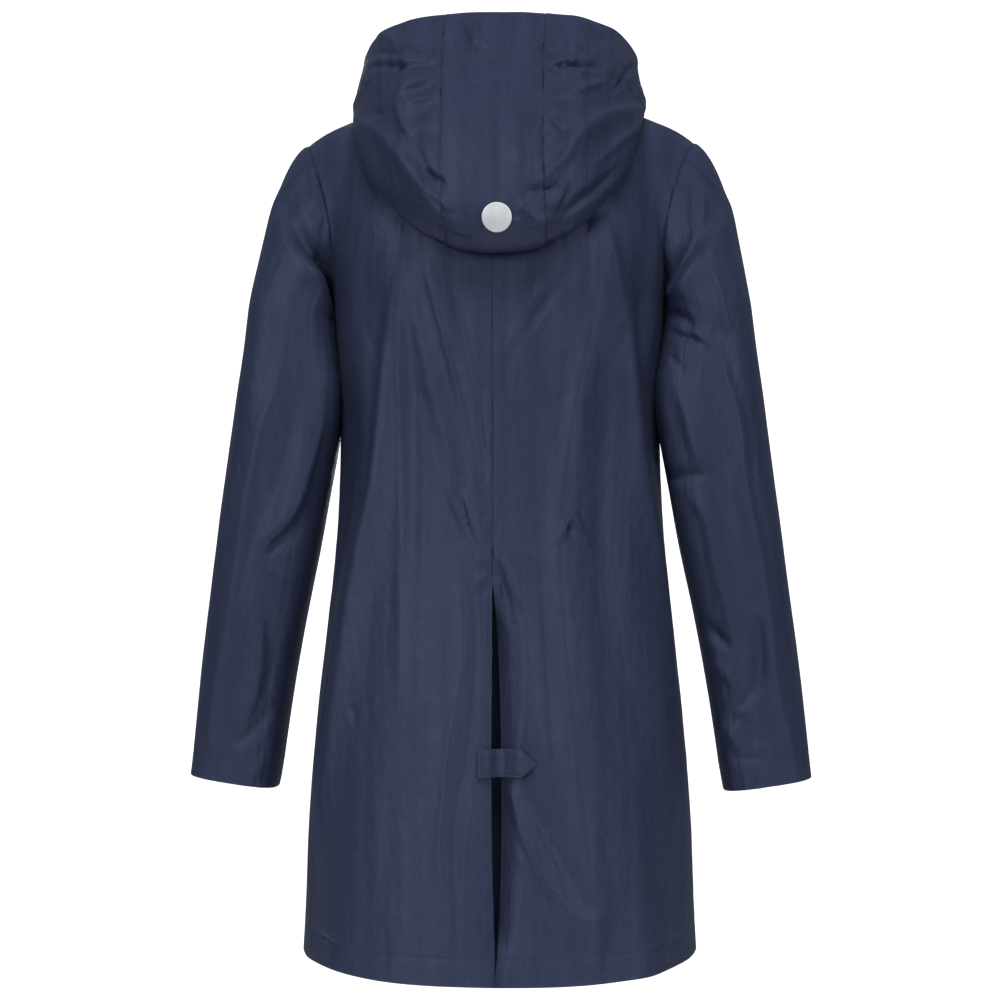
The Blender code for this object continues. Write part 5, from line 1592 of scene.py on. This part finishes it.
@dataclass
class StormFlap:
    """The storm flap over the front closure, and its press studs."""
    half_width: float = 30.0
    wall: float = 2.4
    laid_on: float = 1.0
    forward: float = 0.8
    top_place: float = 1.955
    bottom_place: float = 0.004
    stitch: float = 6.0
    smoothings: int = 3
    stud_profile: Table = ((6.5, 0.0), (6.6, 0.35), (6.45, 0.8), (6.0, 1.05), (5.5, 1.1), (5.1, 0.95),
                           (4.8, 1.15), (4.2, 1.5), (3.0, 1.75), (1.5, 1.85), (0.25, 1.88))
    stud_sides: int = 40
    stud_count: int = 6
    stud_first: float = -112.0
    stud_step: float = -108.0
    stud_across: float = -17.0
    panel: Panel | None = None

    def flap(self, body: CoatBody, fronts: BVHTree) -> Panel:
        """The flap, a folded strip laid on both fronts."""
        places = np.r_[self.bottom_place, body.places()[6:]]
        fine = self.top_place - np.array([0.012, 0.007, 0.003, 0.0])
        places = np.r_[places[places < fine[0] - 0.004], fine]
        levels = [body.row(Face.FRONT, Side.LEFT, place, np.zeros(1))[0][2] for place in places]
        across = rounded(2 * self.half_width, 2.6, 1.1) - self.half_width
        across = np.unique(np.r_[across, [sign * (self.half_width - self.stitch + step)
                                          for sign in (-1, 1) for step in (-1.2, 0, 1.2)]])
        cuts = np.array([[cast(fronts, x, level, -1) for x in across] for level in levels])
        grid, normals = cuts[:, :, 0], cuts[:, :, 1]
        for _ in range(self.smoothings):
            grid[:, 1:-1, 1] = (grid[:, :-2, 1] + 2 * grid[:, 1:-1, 1] + grid[:, 2:, 1]) / 4
            grid[1:-1, :, 1] = (grid[:-2, :, 1] + 2 * grid[1:-1, :, 1] + grid[2:, :, 1]) / 4
            normals[1:-1] = (normals[:-2] + 2 * normals[1:-1] + normals[2:]) / 4
        normals = unit(normals - np.array([0, self.forward, 0]))
        panel = Panel("front_placket", grid + normals * (self.laid_on + self.wall), 1, wall=self.wall)
        panel.normals = normals
        near = np.minimum(panel.from_edge(Edge.FIRST), panel.from_edge(Edge.LAST))
        rise = -0.45 * bell(near - self.stitch, 1.2)
        rise += 0.3 * noise(150, panel.along / 11, panel.across / 12) * bell(near, 9)
        rise += 0.35 * noise(151, panel.along / 60, panel.across / 30)
        panel.lift(rise)
        panel.worn = bell(near, 1.3)
        for edge in Edge:
            panel.round_off(edge, radius=1.1)
        for edge in (Edge.FIRST, Edge.LAST, Edge.END):
            panel.stitch(edge, self.stitch)
        self.panel = panel
        return panel

    def stud(self, number: int, finish: bpy.types.Material) -> bpy.types.Object:
        """One press stud's cap, turned from its profile and seated on the flap.

        Args:
            number: which stud, from 1 at the top.
            finish: its metal.

        Returns:
            The new object.
        """
        level = self.stud_first + self.stud_step * (number - 1)
        seat, normal = cast(surface([self.panel]), self.stud_across, level, -1)
        upright = np.array(Vector(normal).to_track_quat("Z", "Y").to_matrix())
        turns = np.linspace(0, 2 * math.pi, self.stud_sides, endpoint=False)
        rings = [seat + np.stack([radius * np.cos(turns), radius * np.sin(turns),
                                  np.full_like(turns, height)], axis=1) @ upright.T
                 for radius, height in self.stud_profile]
        return add_rings(f"press_stud_{number}_cap", rings, finish, sharp=60)


@dataclass
class Badge:
    """The plain round reflective badge at the bottom of the hood."""
    radius: float = 14.5
    place: tuple[float, float] = (-6.9, -130.6)
    wall: float = 1.0
    laid_on: float = 0.9
    sides: int = 96
    rings: Table = ((0.02, 0.0), (1.0, 0.0), (0.995, 0.45), (0.975, 0.8), (0.945, 0.98), (0.90, 1.0),
                    (0.875, 0.93), (0.85, 0.86), (0.7, 0.9), (0.45, 0.94), (0.2, 0.96), (0.02, 0.97))

    def build(self, hood: BVHTree, finish: bpy.types.Material) -> bpy.types.Object:
        """Build the badge so that it follows the hood's curve.

        Args:
            hood: the hood's centre panel before its folds.
            finish: its reflective film.

        Returns:
            The new object.
        """
        x, z = self.place
        _, normal = cast(hood, x, z)
        rise = math.hypot(normal[0], normal[1])
        turns = -np.linspace(0, 2 * math.pi, self.sides, endpoint=False)
        rings = []
        for share, height in self.rings:
            reach = self.radius * share
            seats = [cast(hood, x + reach * math.cos(t), z + reach * math.sin(t) * rise)[0] for t in turns]
            rings.append(np.array(seats) + normal * (self.laid_on + self.wall * height))
        return add_rings("round_badge", rings, finish, sharp=60)


# ---------------------------------------------------------------- nodes

class Nodes:
    """Adds and joins the nodes of one tree."""

    def __init__(self, tree: bpy.types.NodeTree) -> None:
        """Take up a tree."""
        self.nodes, self.links = tree.nodes, tree.links

    def put(self, port: bpy.types.NodeSocket, value: object) -> None:
        """Join another node's socket to a port, or give the port a plain value."""
        if isinstance(value, bpy.types.NodeSocket):
            self.links.new(value, port)
        else:
            port.default_value = value

    def add(self, kind: str, settings: dict | None = None, **inputs: object) -> bpy.types.NodeOutputs:
        """Add a node.

        Args:
            kind: its type.
            settings: its own properties.
            inputs: what goes into its sockets, by name or as i and a number: a socket or a plain value.

        Returns:
            The node's outputs.
        """
        node = self.nodes.new(kind)
        for name, value in (settings or {}).items():
            setattr(node, name, value)
        for name, value in inputs.items():
            self.put(node.inputs[int(name[1:]) if name[1:].isdigit() else name.replace("_", " ")], value)
        return node.outputs


# ---------------------------------------------------------------- sewing

@dataclass
class Needle:
    """Sews rows of stitches along lines, with geometry nodes.

    Sizes are in millimetres: a stitch's length, width and height, and how far apart stitches start.
    """
    length: float = 2.5
    width: float = 0.62
    height: float = 0.42
    pitch: float = 3.3
    sunk: float = 0.04
    seed: int = 5
    tree: bpy.types.GeometryNodeTree | None = None

    def build(self, thread: bpy.types.Material) -> bpy.types.GeometryNodeTree:
        """Build the node tree that sews one stitch at each step of every line."""
        tree = bpy.data.node_groups.new("sewing", "GeometryNodeTree")
        for way in ("INPUT", "OUTPUT"):
            tree.interface.new_socket("Geometry", in_out=way, socket_type="NodeSocketGeometry")
        bench = Nodes(tree)
        line = bench.add("GeometryNodeMeshToCurve", Mesh=bench.add("NodeGroupInput")[0])
        steps = bench.add("GeometryNodeResampleCurve", {"mode": "LENGTH"}, Curve=line[0],
                          Length=self.pitch * METRES)
        outward = bench.add("GeometryNodeInputNamedAttribute", {"data_type": "FLOAT_VECTOR"}, Name="outward")
        ahead = bench.add("FunctionNodeAlignRotationToVector", {"axis": "X"},
                          Vector=bench.add("GeometryNodeInputTangent")[0])
        upright = bench.add("FunctionNodeAlignRotationToVector", {"axis": "Z", "pivot_axis": "X"},
                            Rotation=ahead[0], Vector=outward[0])
        stitch = bench.add("GeometryNodeMeshUVSphere", Segments=6, Rings=4, Radius=0.5)
        size = bench.add("ShaderNodeCombineXYZ", X=self.length * METRES, Y=self.width * METRES,
                         Z=self.height * METRES)
        lean = bench.add("FunctionNodeRandomValue", {"data_type": "FLOAT_VECTOR"}, i0=(0.88, 0.9, 0.9),
                         i1=(1.0, 1.1, 1.1), Seed=self.seed)
        scale = bench.add("ShaderNodeVectorMath", {"operation": "MULTIPLY"}, i0=size[0], i1=lean[0])
        sewn = bench.add("GeometryNodeInstanceOnPoints", Points=steps[0], Instance=stitch[0],
                         Rotation=upright[0], Scale=scale[0])
        real = bench.add("GeometryNodeRealizeInstances", Geometry=sewn[0])
        soft = bench.add("GeometryNodeSetShadeSmooth", Geometry=real[0])
        dressed = bench.add("GeometryNodeSetMaterial", Geometry=soft[0], Material=thread)
        bench.add("NodeGroupOutput", Geometry=dressed[0])
        return tree

    def sew(self, name: str, lines: Sequence[Line], thread: bpy.types.Material) -> bpy.types.Object:
        """Sew along some lines.

        Args:
            name: the name of the piece.
            lines: the lines, on the cloth's outer side.
            thread: the thread's finish.

        Returns:
            The stitches as one mesh.
        """
        self.tree = self.tree or self.build(thread)
        points = np.concatenate([line.points + line.normals * self.sunk for line in lines]) * METRES
        counts = np.cumsum([0, *(len(line.points) for line in lines)])
        edges = [(i, i + 1) for start, end in zip(counts, counts[1:]) for i in range(start, end - 1)]
        made = add_mesh(name, points.tolist(), [], edges=edges)
        outward = made.data.attributes.new("outward", "FLOAT_VECTOR", "POINT")
        outward.data.foreach_set("vector", np.concatenate([line.normals for line in lines]).ravel())
        modifier = made.modifiers.new("sewing", "NODES")
        modifier.node_group = self.tree
        ready = made.evaluated_get(bpy.context.evaluated_depsgraph_get())
        made.data, lines_only = bpy.data.meshes.new_from_object(ready), made.data
        made.modifiers.remove(modifier)
        bpy.data.meshes.remove(lines_only)
        made.data.name = name
        return made


# ---------------------------------------------------------------- finishes

class Bench(Nodes):
    """Builds one material."""

    def __init__(self, name: str) -> None:
        """Start a material with its shader."""
        self.material = bpy.data.materials.new(name)
        self.material.use_nodes = True
        super().__init__(self.material.node_tree)

    def math(self, operation: str, first: object, second: object = 0.0) -> bpy.types.NodeSocket:
        """A sum on one or two values."""
        return self.add("ShaderNodeMath", {"operation": operation}, i0=first, i1=second)[0]

    def blend(self, *parts: tuple[bpy.types.NodeSocket, float]) -> bpy.types.NodeSocket:
        """Values added up, each times its share."""
        total, *others = (self.math("MULTIPLY", value, share) for value, share in parts)
        for other in others:
            total = self.math("ADD", total, other)
        return total

    def weave(self) -> bpy.types.NodeSocket:
        """Places on the cloth, in metres across and along it."""
        return self.add("ShaderNodeUVMap", {"uv_map": "weave"})[0]

    def place(self) -> bpy.types.NodeSocket:
        """Places in the coat's own frame, in metres."""
        return self.add("ShaderNodeTexCoord")["Object"]

    def grain(self, vector: bpy.types.NodeSocket, *scale: float, detail: float = 2.0) -> bpy.types.NodeSocket:
        """Noise from 0 to 1, stretched by a scale along each direction, or by one along all."""
        placed = self.add("ShaderNodeMapping", Vector=vector, Scale=scale * (3 // len(scale)))
        return self.add("ShaderNodeTexNoise", Vector=placed[0], Scale=1.0, Detail=detail)[0]

    def remap(self, value: bpy.types.NodeSocket, low: float = 0.0, high: float = 1.0) -> bpy.types.NodeSocket:
        """Spread a value that lies around a half between two others."""
        return self.add("ShaderNodeMapRange", Value=value, From_Min=0.25, From_Max=0.75, To_Min=low,
                        To_Max=high)[0]

    def mix(self, share: object, first: object, second: object) -> bpy.types.NodeSocket:
        """Mix two colours."""
        first, second = ((*end, 1.0) if isinstance(end, tuple) else end for end in (first, second))
        return self.add("ShaderNodeMix", {"data_type": "RGBA"}, i0=share, i6=first, i7=second)[2]

    def bump(self, height: bpy.types.NodeSocket, distance: float, strength: float,
             **under: bpy.types.NodeSocket) -> bpy.types.NodeSocket:
        """Raise the surface by a height.

        Args:
            height: from 0 to 1.
            distance: how far 1 stands out, in metres.
            strength: from 0 to 1.
            under: the Normal of another bump, to add to it.

        Returns:
            The new normal.
        """
        return self.add("ShaderNodeBump", Height=height, Distance=distance, Strength=strength, **under)[0]

    def dress(self, **values: object) -> bpy.types.Material:
        """Set the shader's sockets and return the material."""
        for name, value in values.items():
            self.put(self.nodes["Principled BSDF"].inputs[name.replace("_", " ")], value)
        return self.material


def taffeta(bench: Bench) -> bpy.types.Material:
    """Coated taffeta: a fine plain weave with slubs, soft streaks and a dull sheen, with painted shade in
    seams.
    """
    deep, pale = (0.0088, 0.0124, 0.0313), (0.0368, 0.0450, 0.0825)
    # the colour of shade painted into seams, vent edges and the gusset's middle, then the pale of rubbed
    # edges
    painted_shade, rubbed = (0.004, 0.005, 0.014), (0.044, 0.053, 0.092)
    yarn = 0.00062
    weave = bench.weave()
    parts = bench.add("ShaderNodeSeparateXYZ", Vector=weave)
    warp, weft = (bench.math("SINE", bench.math("MULTIPLY", part, 2 * math.pi / yarn)) for part in parts[:2])
    slub = bench.grain(weave, 700, 42, 1, detail=3.0)
    cross_slub = bench.grain(weave, 50, 640, 1, detail=3.0)
    streak = bench.grain(weave, 60, 5, 1, detail=1.0)
    stipple = bench.grain(weave, 560, 560, 1, detail=1.0)
    crumple = bench.grain(weave, 80, 46, 1, detail=2.5)
    cloud = bench.grain(weave, 26, 7, 1)
    uneven = bench.blend((streak, 0.3), (stipple, 0.32), (slub, 0.2), (cross_slub, 0.18))
    colour = bench.mix(bench.remap(uneven), deep, pale)
    worn = bench.add("ShaderNodeAttribute", {"attribute_name": "worn"})["Fac"]
    patchy = bench.remap(bench.grain(weave, 220, 220, 1, detail=3.0), 0.1, 0.8)
    colour = bench.mix(bench.math("MULTIPLY", bench.math("MAXIMUM", worn, 0.0), patchy), colour, rubbed)
    # below 0 the attribute paints shade: the cloth is mixed toward the painted shade colour
    sunk = bench.math("MAXIMUM", bench.math("MULTIPLY", worn, -1.0), 0.0)
    colour = bench.mix(sunk, colour, painted_shade)
    normal = bench.bump(crumple, 0.0016, 0.7)
    for height, distance, strength in (
        (streak, 0.0014, 0.7), (bench.math("MULTIPLY", warp, weft), 0.00004, 0.55),
        (slub, 0.00014, 0.5), (cross_slub, 0.00012, 0.5),
    ):
        normal = bench.bump(height, distance, strength, Normal=normal)
    return bench.dress(
        Base_Color=colour, Normal=normal, Specular_IOR_Level=0.6, Specular_Tint=(0.58, 0.66, 1.0, 1.0),
        Roughness=bench.remap(bench.blend((cloud, 0.6), (slub, 0.4)), 0.41, 0.50),
        Sheen_Weight=0.02, Sheen_Roughness=0.45, Sheen_Tint=(0.62, 0.70, 0.95, 1.0),
    )


def coating(bench: Bench) -> bpy.types.Material:
    """The coated inner side of the cloth: duller, a shade greyer, with a faint weave."""
    weave = bench.weave()
    cloud = bench.grain(weave, 34, 12, 1, detail=3.0)
    fine = bench.grain(weave, 900, 900, 1)
    return bench.dress(
        Base_Color=bench.mix(bench.remap(cloud), (0.020, 0.024, 0.042), (0.030, 0.035, 0.056)),
        Roughness=bench.remap(cloud, 0.42, 0.6), Normal=bench.bump(fine, 0.00008, 0.4),
        Specular_IOR_Level=0.35,
    )


def polyester(bench: Bench) -> bpy.types.Material:
    """Sewing thread, a shade deeper than the cloth, twisted of fine plies."""
    place = bench.place()
    ply, broad = bench.grain(place, 4200, detail=1.0), bench.grain(place, 160)
    tint = bench.math("MULTIPLY", bench.math("ADD", ply, broad), 0.5)
    return bench.dress(
        Base_Color=bench.mix(bench.remap(tint), (0.008, 0.010, 0.026), (0.020, 0.025, 0.052)),
        Roughness=bench.remap(broad, 0.5, 0.65), Normal=bench.bump(ply, 0.00008, 0.6),
        Sheen_Weight=0.2, Sheen_Roughness=0.5,
    )


def gunmetal(bench: Bench) -> bpy.types.Material:
    """Dark plated metal with fine turned scratches."""
    place = bench.place()
    scratch, cloud = bench.grain(place, 300, 300, 5200, detail=3.0), bench.grain(place, 420)
    return bench.dress(
        Base_Color=bench.mix(bench.remap(cloud), (0.055, 0.056, 0.062), (0.115, 0.116, 0.125)),
        Roughness=bench.remap(scratch, 0.26, 0.44), Metallic=1.0, Normal=bench.bump(scratch, 0.00003, 0.35),
    )


def reflective_film(bench: Bench) -> bpy.types.Material:
    """Silver reflective film of tiny glass beads."""
    place = bench.place()
    beads = bench.add("ShaderNodeTexVoronoi", Vector=place, Scale=2600.0)["Distance"]
    cloud = bench.grain(place, 90, 90, 60)
    tint = bench.remap(bench.blend((beads, 0.35), (cloud, 0.65)))
    return bench.dress(
        Base_Color=bench.mix(tint, (0.70, 0.70, 0.71), (0.92, 0.92, 0.93)),
        Roughness=bench.remap(cloud, 0.34, 0.5), Metallic=0.25, Normal=bench.bump(beads, 0.00006, 0.35),
        Coat_Weight=0.2, Coat_Roughness=0.25,
    )


FINISHES = {
    Finish.CLOTH: taffeta,
    Finish.INSIDE: coating,
    Finish.THREAD: polyester,
    Finish.METAL: gunmetal,
    Finish.FILM: reflective_film,
}


# ---------------------------------------------------------------- studio

@dataclass
class Studio:
    """A plain pale floor and backdrop, soft light and the camera."""
    eye_turn: float = 183.3
    eye_distance: float = 2.5
    eye_level: float = -0.402
    lens: float = 87.4
    clips: tuple[float, float] = (0.05, 60.0)
    floor_level: float = -1.40
    floor_radius: float = 1.7
    floor_greys: tuple[Colour, Colour] = ((0.70, 0.70, 0.70), (0.73, 0.73, 0.73))
    backdrop_radius: float = 12.0
    backdrop_glow: float = 1.02
    sky: float = 0.165
    sky_tint: Colour = (0.70, 0.80, 1.0)
    lamps: Table = (
        # turn from the eye, elevation, width, height and power
        (-34, 14, 1.4, 2.9, 85.0),
        (34, 14, 1.4, 2.9, 66.0),
        (-180, 14, 2.4, 2.9, 150.0),
        (0, 60, 2.9, 1.7, 350.0),
    )
    lamp_distance: float = 6.0
    glossy_lamps: int = 3

    def stand(self, thing: bpy.types.ID, turn: float, rise: float, distance: float) -> bpy.types.Object:
        """Stand a camera or a lamp somewhere round the coat, turned to its middle."""
        made = bpy.data.objects.new(thing.name, thing)
        a, e = math.radians(self.eye_turn + turn), math.radians(rise)
        middle = Vector((0, 0, self.eye_level))
        made.location = middle + distance * Vector(
            (math.sin(a) * math.cos(e), -math.cos(a) * math.cos(e), math.sin(e)))
        made.rotation_euler = (middle - made.location).to_track_quat("-Z", "Y").to_euler()
        bpy.context.scene.collection.objects.link(made)
        return made

    def build(self) -> None:
        """Set up the camera, the lamps, the sky, the floor and the backdrop."""
        scene = bpy.context.scene
        camera = bpy.data.cameras.new("camera")
        camera.lens = self.lens
        camera.clip_start, camera.clip_end = self.clips
        scene.camera = self.stand(camera, 0.0, 0.0, self.eye_distance)
        for number, (turn, rise, width, height, power) in enumerate(self.lamps):
            lamp = bpy.data.lights.new(f"lamp_{number}", "AREA")
            lamp.shape, lamp.size, lamp.size_y, lamp.energy = "RECTANGLE", width, height, power
            stand = self.stand(lamp, turn, rise, self.lamp_distance)
            stand.visible_camera = False
            stand.visible_glossy = number < self.glossy_lamps
        scene.world = bpy.data.worlds.new("studio")
        scene.world.use_nodes = True
        sky = scene.world.node_tree.nodes["Background"].inputs
        sky["Color"].default_value, sky["Strength"].default_value = (*self.sky_tint, 1), self.sky
        scene.view_settings.view_transform = "Standard"
        self.floor()
        self.backdrop()

    def floor(self) -> None:
        """The pale floor that the coat hangs above."""
        turns = np.linspace(0, 2 * math.pi, 96, endpoint=False)
        points = [(self.floor_radius * math.cos(t), self.floor_radius * math.sin(t), self.floor_level)
                  for t in turns]
        bench = Bench("pale_floor")
        colour = bench.mix(bench.remap(bench.grain(bench.place(), 3)), *self.floor_greys)
        paint = bench.dress(Base_Color=colour, Roughness=0.9, Specular_IOR_Level=0.2)
        add_mesh("floor", points, [tuple(range(len(points)))], [paint])

    def backdrop(self) -> None:
        """The white backdrop all round, which lights nothing."""
        mesh = bpy.data.meshes.new("backdrop")
        shell = bmesh.new()
        bmesh.ops.create_uvsphere(shell, u_segments=48, v_segments=24, radius=self.backdrop_radius)
        bmesh.ops.reverse_faces(shell, faces=shell.faces)
        shell.to_mesh(mesh)
        shell.free()
        white = (1, 1, 1, 1)
        mesh.materials.append(Bench("backdrop_white").dress(
            Base_Color=white, Emission_Color=white, Emission_Strength=self.backdrop_glow,
            Specular_IOR_Level=0.0))
        made = add_object(mesh)
        made.visible_diffuse = made.visible_glossy = made.visible_shadow = False
        made.visible_transmission = made.visible_volume_scatter = False


# ---------------------------------------------------------------- the whole coat

# how each sheet is held, and what it rests on
HELD = {
    "hood_centre": ("folded", "back_left", "back_right"),
    "front_placket": ("laid", "front_left", "front_right"),
    "vent_gusset": ("hung", "back_left", "back_right"),
    "vent_tab": ("laid", "back_left", "back_right"),
}
for one, other in (("left", "right"), ("right", "left")):
    HELD[f"back_{one}"] = ("hung", f"back_{other}", f"front_{one}", "hood_centre")
    HELD[f"front_{one}"] = ("hung", f"back_{one}")
    HELD[f"sleeve_upper_{one}"] = HELD[f"sleeve_under_{one}"] = ("hung", f"back_{one}", f"front_{one}")
    HELD[f"hood_{one}"] = ("folded", "hood_centre")

DOUBLED = ("front_placket", "vent_tab", "vent_gusset")      # cloth on both sides


@dataclass
class Raincoat:
    """The whole coat, from its cut pieces to its finishes."""
    body: CoatBody = field(default_factory=CoatBody)
    sleeves: tuple[Sleeve, Sleeve] = field(
        default_factory=lambda: (Sleeve(Side.LEFT, swing=3.5), Sleeve(Side.RIGHT)))
    hood: Hood = field(default_factory=Hood)
    vent: Vent = field(default_factory=Vent)
    flap: StormFlap = field(default_factory=StormFlap)
    badge: Badge = field(default_factory=Badge)
    needle: Needle = field(default_factory=Needle)
    finishes: dict[Finish, bpy.types.Material] = field(default_factory=dict)

    def side_of_body(self, face: Face) -> BVHTree:
        """The surface of the backs, or of the fronts, as they lie now."""
        return surface(self.body.panels[face, side] for side in Side)

    def sew_together(self) -> list[Panel]:
        """Lay out, drape and join the pieces that are sewn to one another.

        Returns:
            All the coat's pieces of cloth.
        """
        parts = (self.body, *self.sleeves, self.hood)
        body = self.body.lay_out()
        base, backs = surface(body), self.side_of_body(Face.BACK)
        sleeves = [panel for sleeve in self.sleeves for panel in sleeve.lay_out(self.body.yoke_rows)]
        hood = self.hood.lay_out(self.body, base)
        badge_seat = surface([self.hood.panels["hood_centre"]])
        seams = Seams([*body, *sleeves, *hood])
        log.info("laid out %d pieces, with %d places where they meet", len(seams.panels), len(seams.groups))
        seams.share_normals()
        for part in parts:
            part.drape()
        seams.close()
        coat = surface(body)
        for part in parts[1:]:
            part.settle(coat)
        seams.close()
        for part in parts:
            part.finish_edges()
        seams.share_normals()
        for part in parts:
            part.sew()
        laid = [self.vent.gusset(backs), self.vent.tab(self.side_of_body(Face.BACK)),
                self.flap.flap(self.body, self.side_of_body(Face.FRONT))]
        made = self.badge.build(badge_seat, self.finishes[Finish.FILM])
        self.place(made, SILVER_SLOT, ["reflective_dot"])
        return [*body, *sleeves, *hood, *laid]

    def place(self, made: bpy.types.Object, slot: str, nodes: Sequence[str] = ()) -> None:
        """Let a piece ride on the coat and stand for its solids."""
        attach(made, BODY)
        if nodes:
            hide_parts(*nodes)
        log.info("%s: %d faces", made.name, len(made.data.polygons))

    def build(self) -> None:
        """Build every piece of the coat."""
        self.finishes = {kind: finish(Bench(kind.value)) for kind, finish in FINISHES.items()}
        cloth, inside = self.finishes[Finish.CLOTH], self.finishes[Finish.INSIDE]
        panels = self.sew_together()
        for panel in panels:
            made = panel.make(cloth, cloth if panel.name in DOUBLED else inside)
            made.name = f"{panel.name}_cloth"
            self.place(made, NAVY_SLOT, [panel.name])
            if panel.stitching:
                stitches = self.needle.sew(f"{panel.name}_stitches", panel.stitching,
                                           self.finishes[Finish.THREAD])
                self.place(stitches, NAVY_SLOT)
        for number in range(1, self.flap.stud_count + 1):
            stud = self.flap.stud(number, self.finishes[Finish.METAL])
            self.place(stud, METAL_SLOT, [f"press_stud_{number}"])


def main() -> None:
    """Build the coat and its studio."""
    logging.basicConfig(level=logging.INFO, format="%(name)s: %(message)s")
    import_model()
    Studio().build()
    Raincoat().build()


if __name__ == "__main__":
    main()
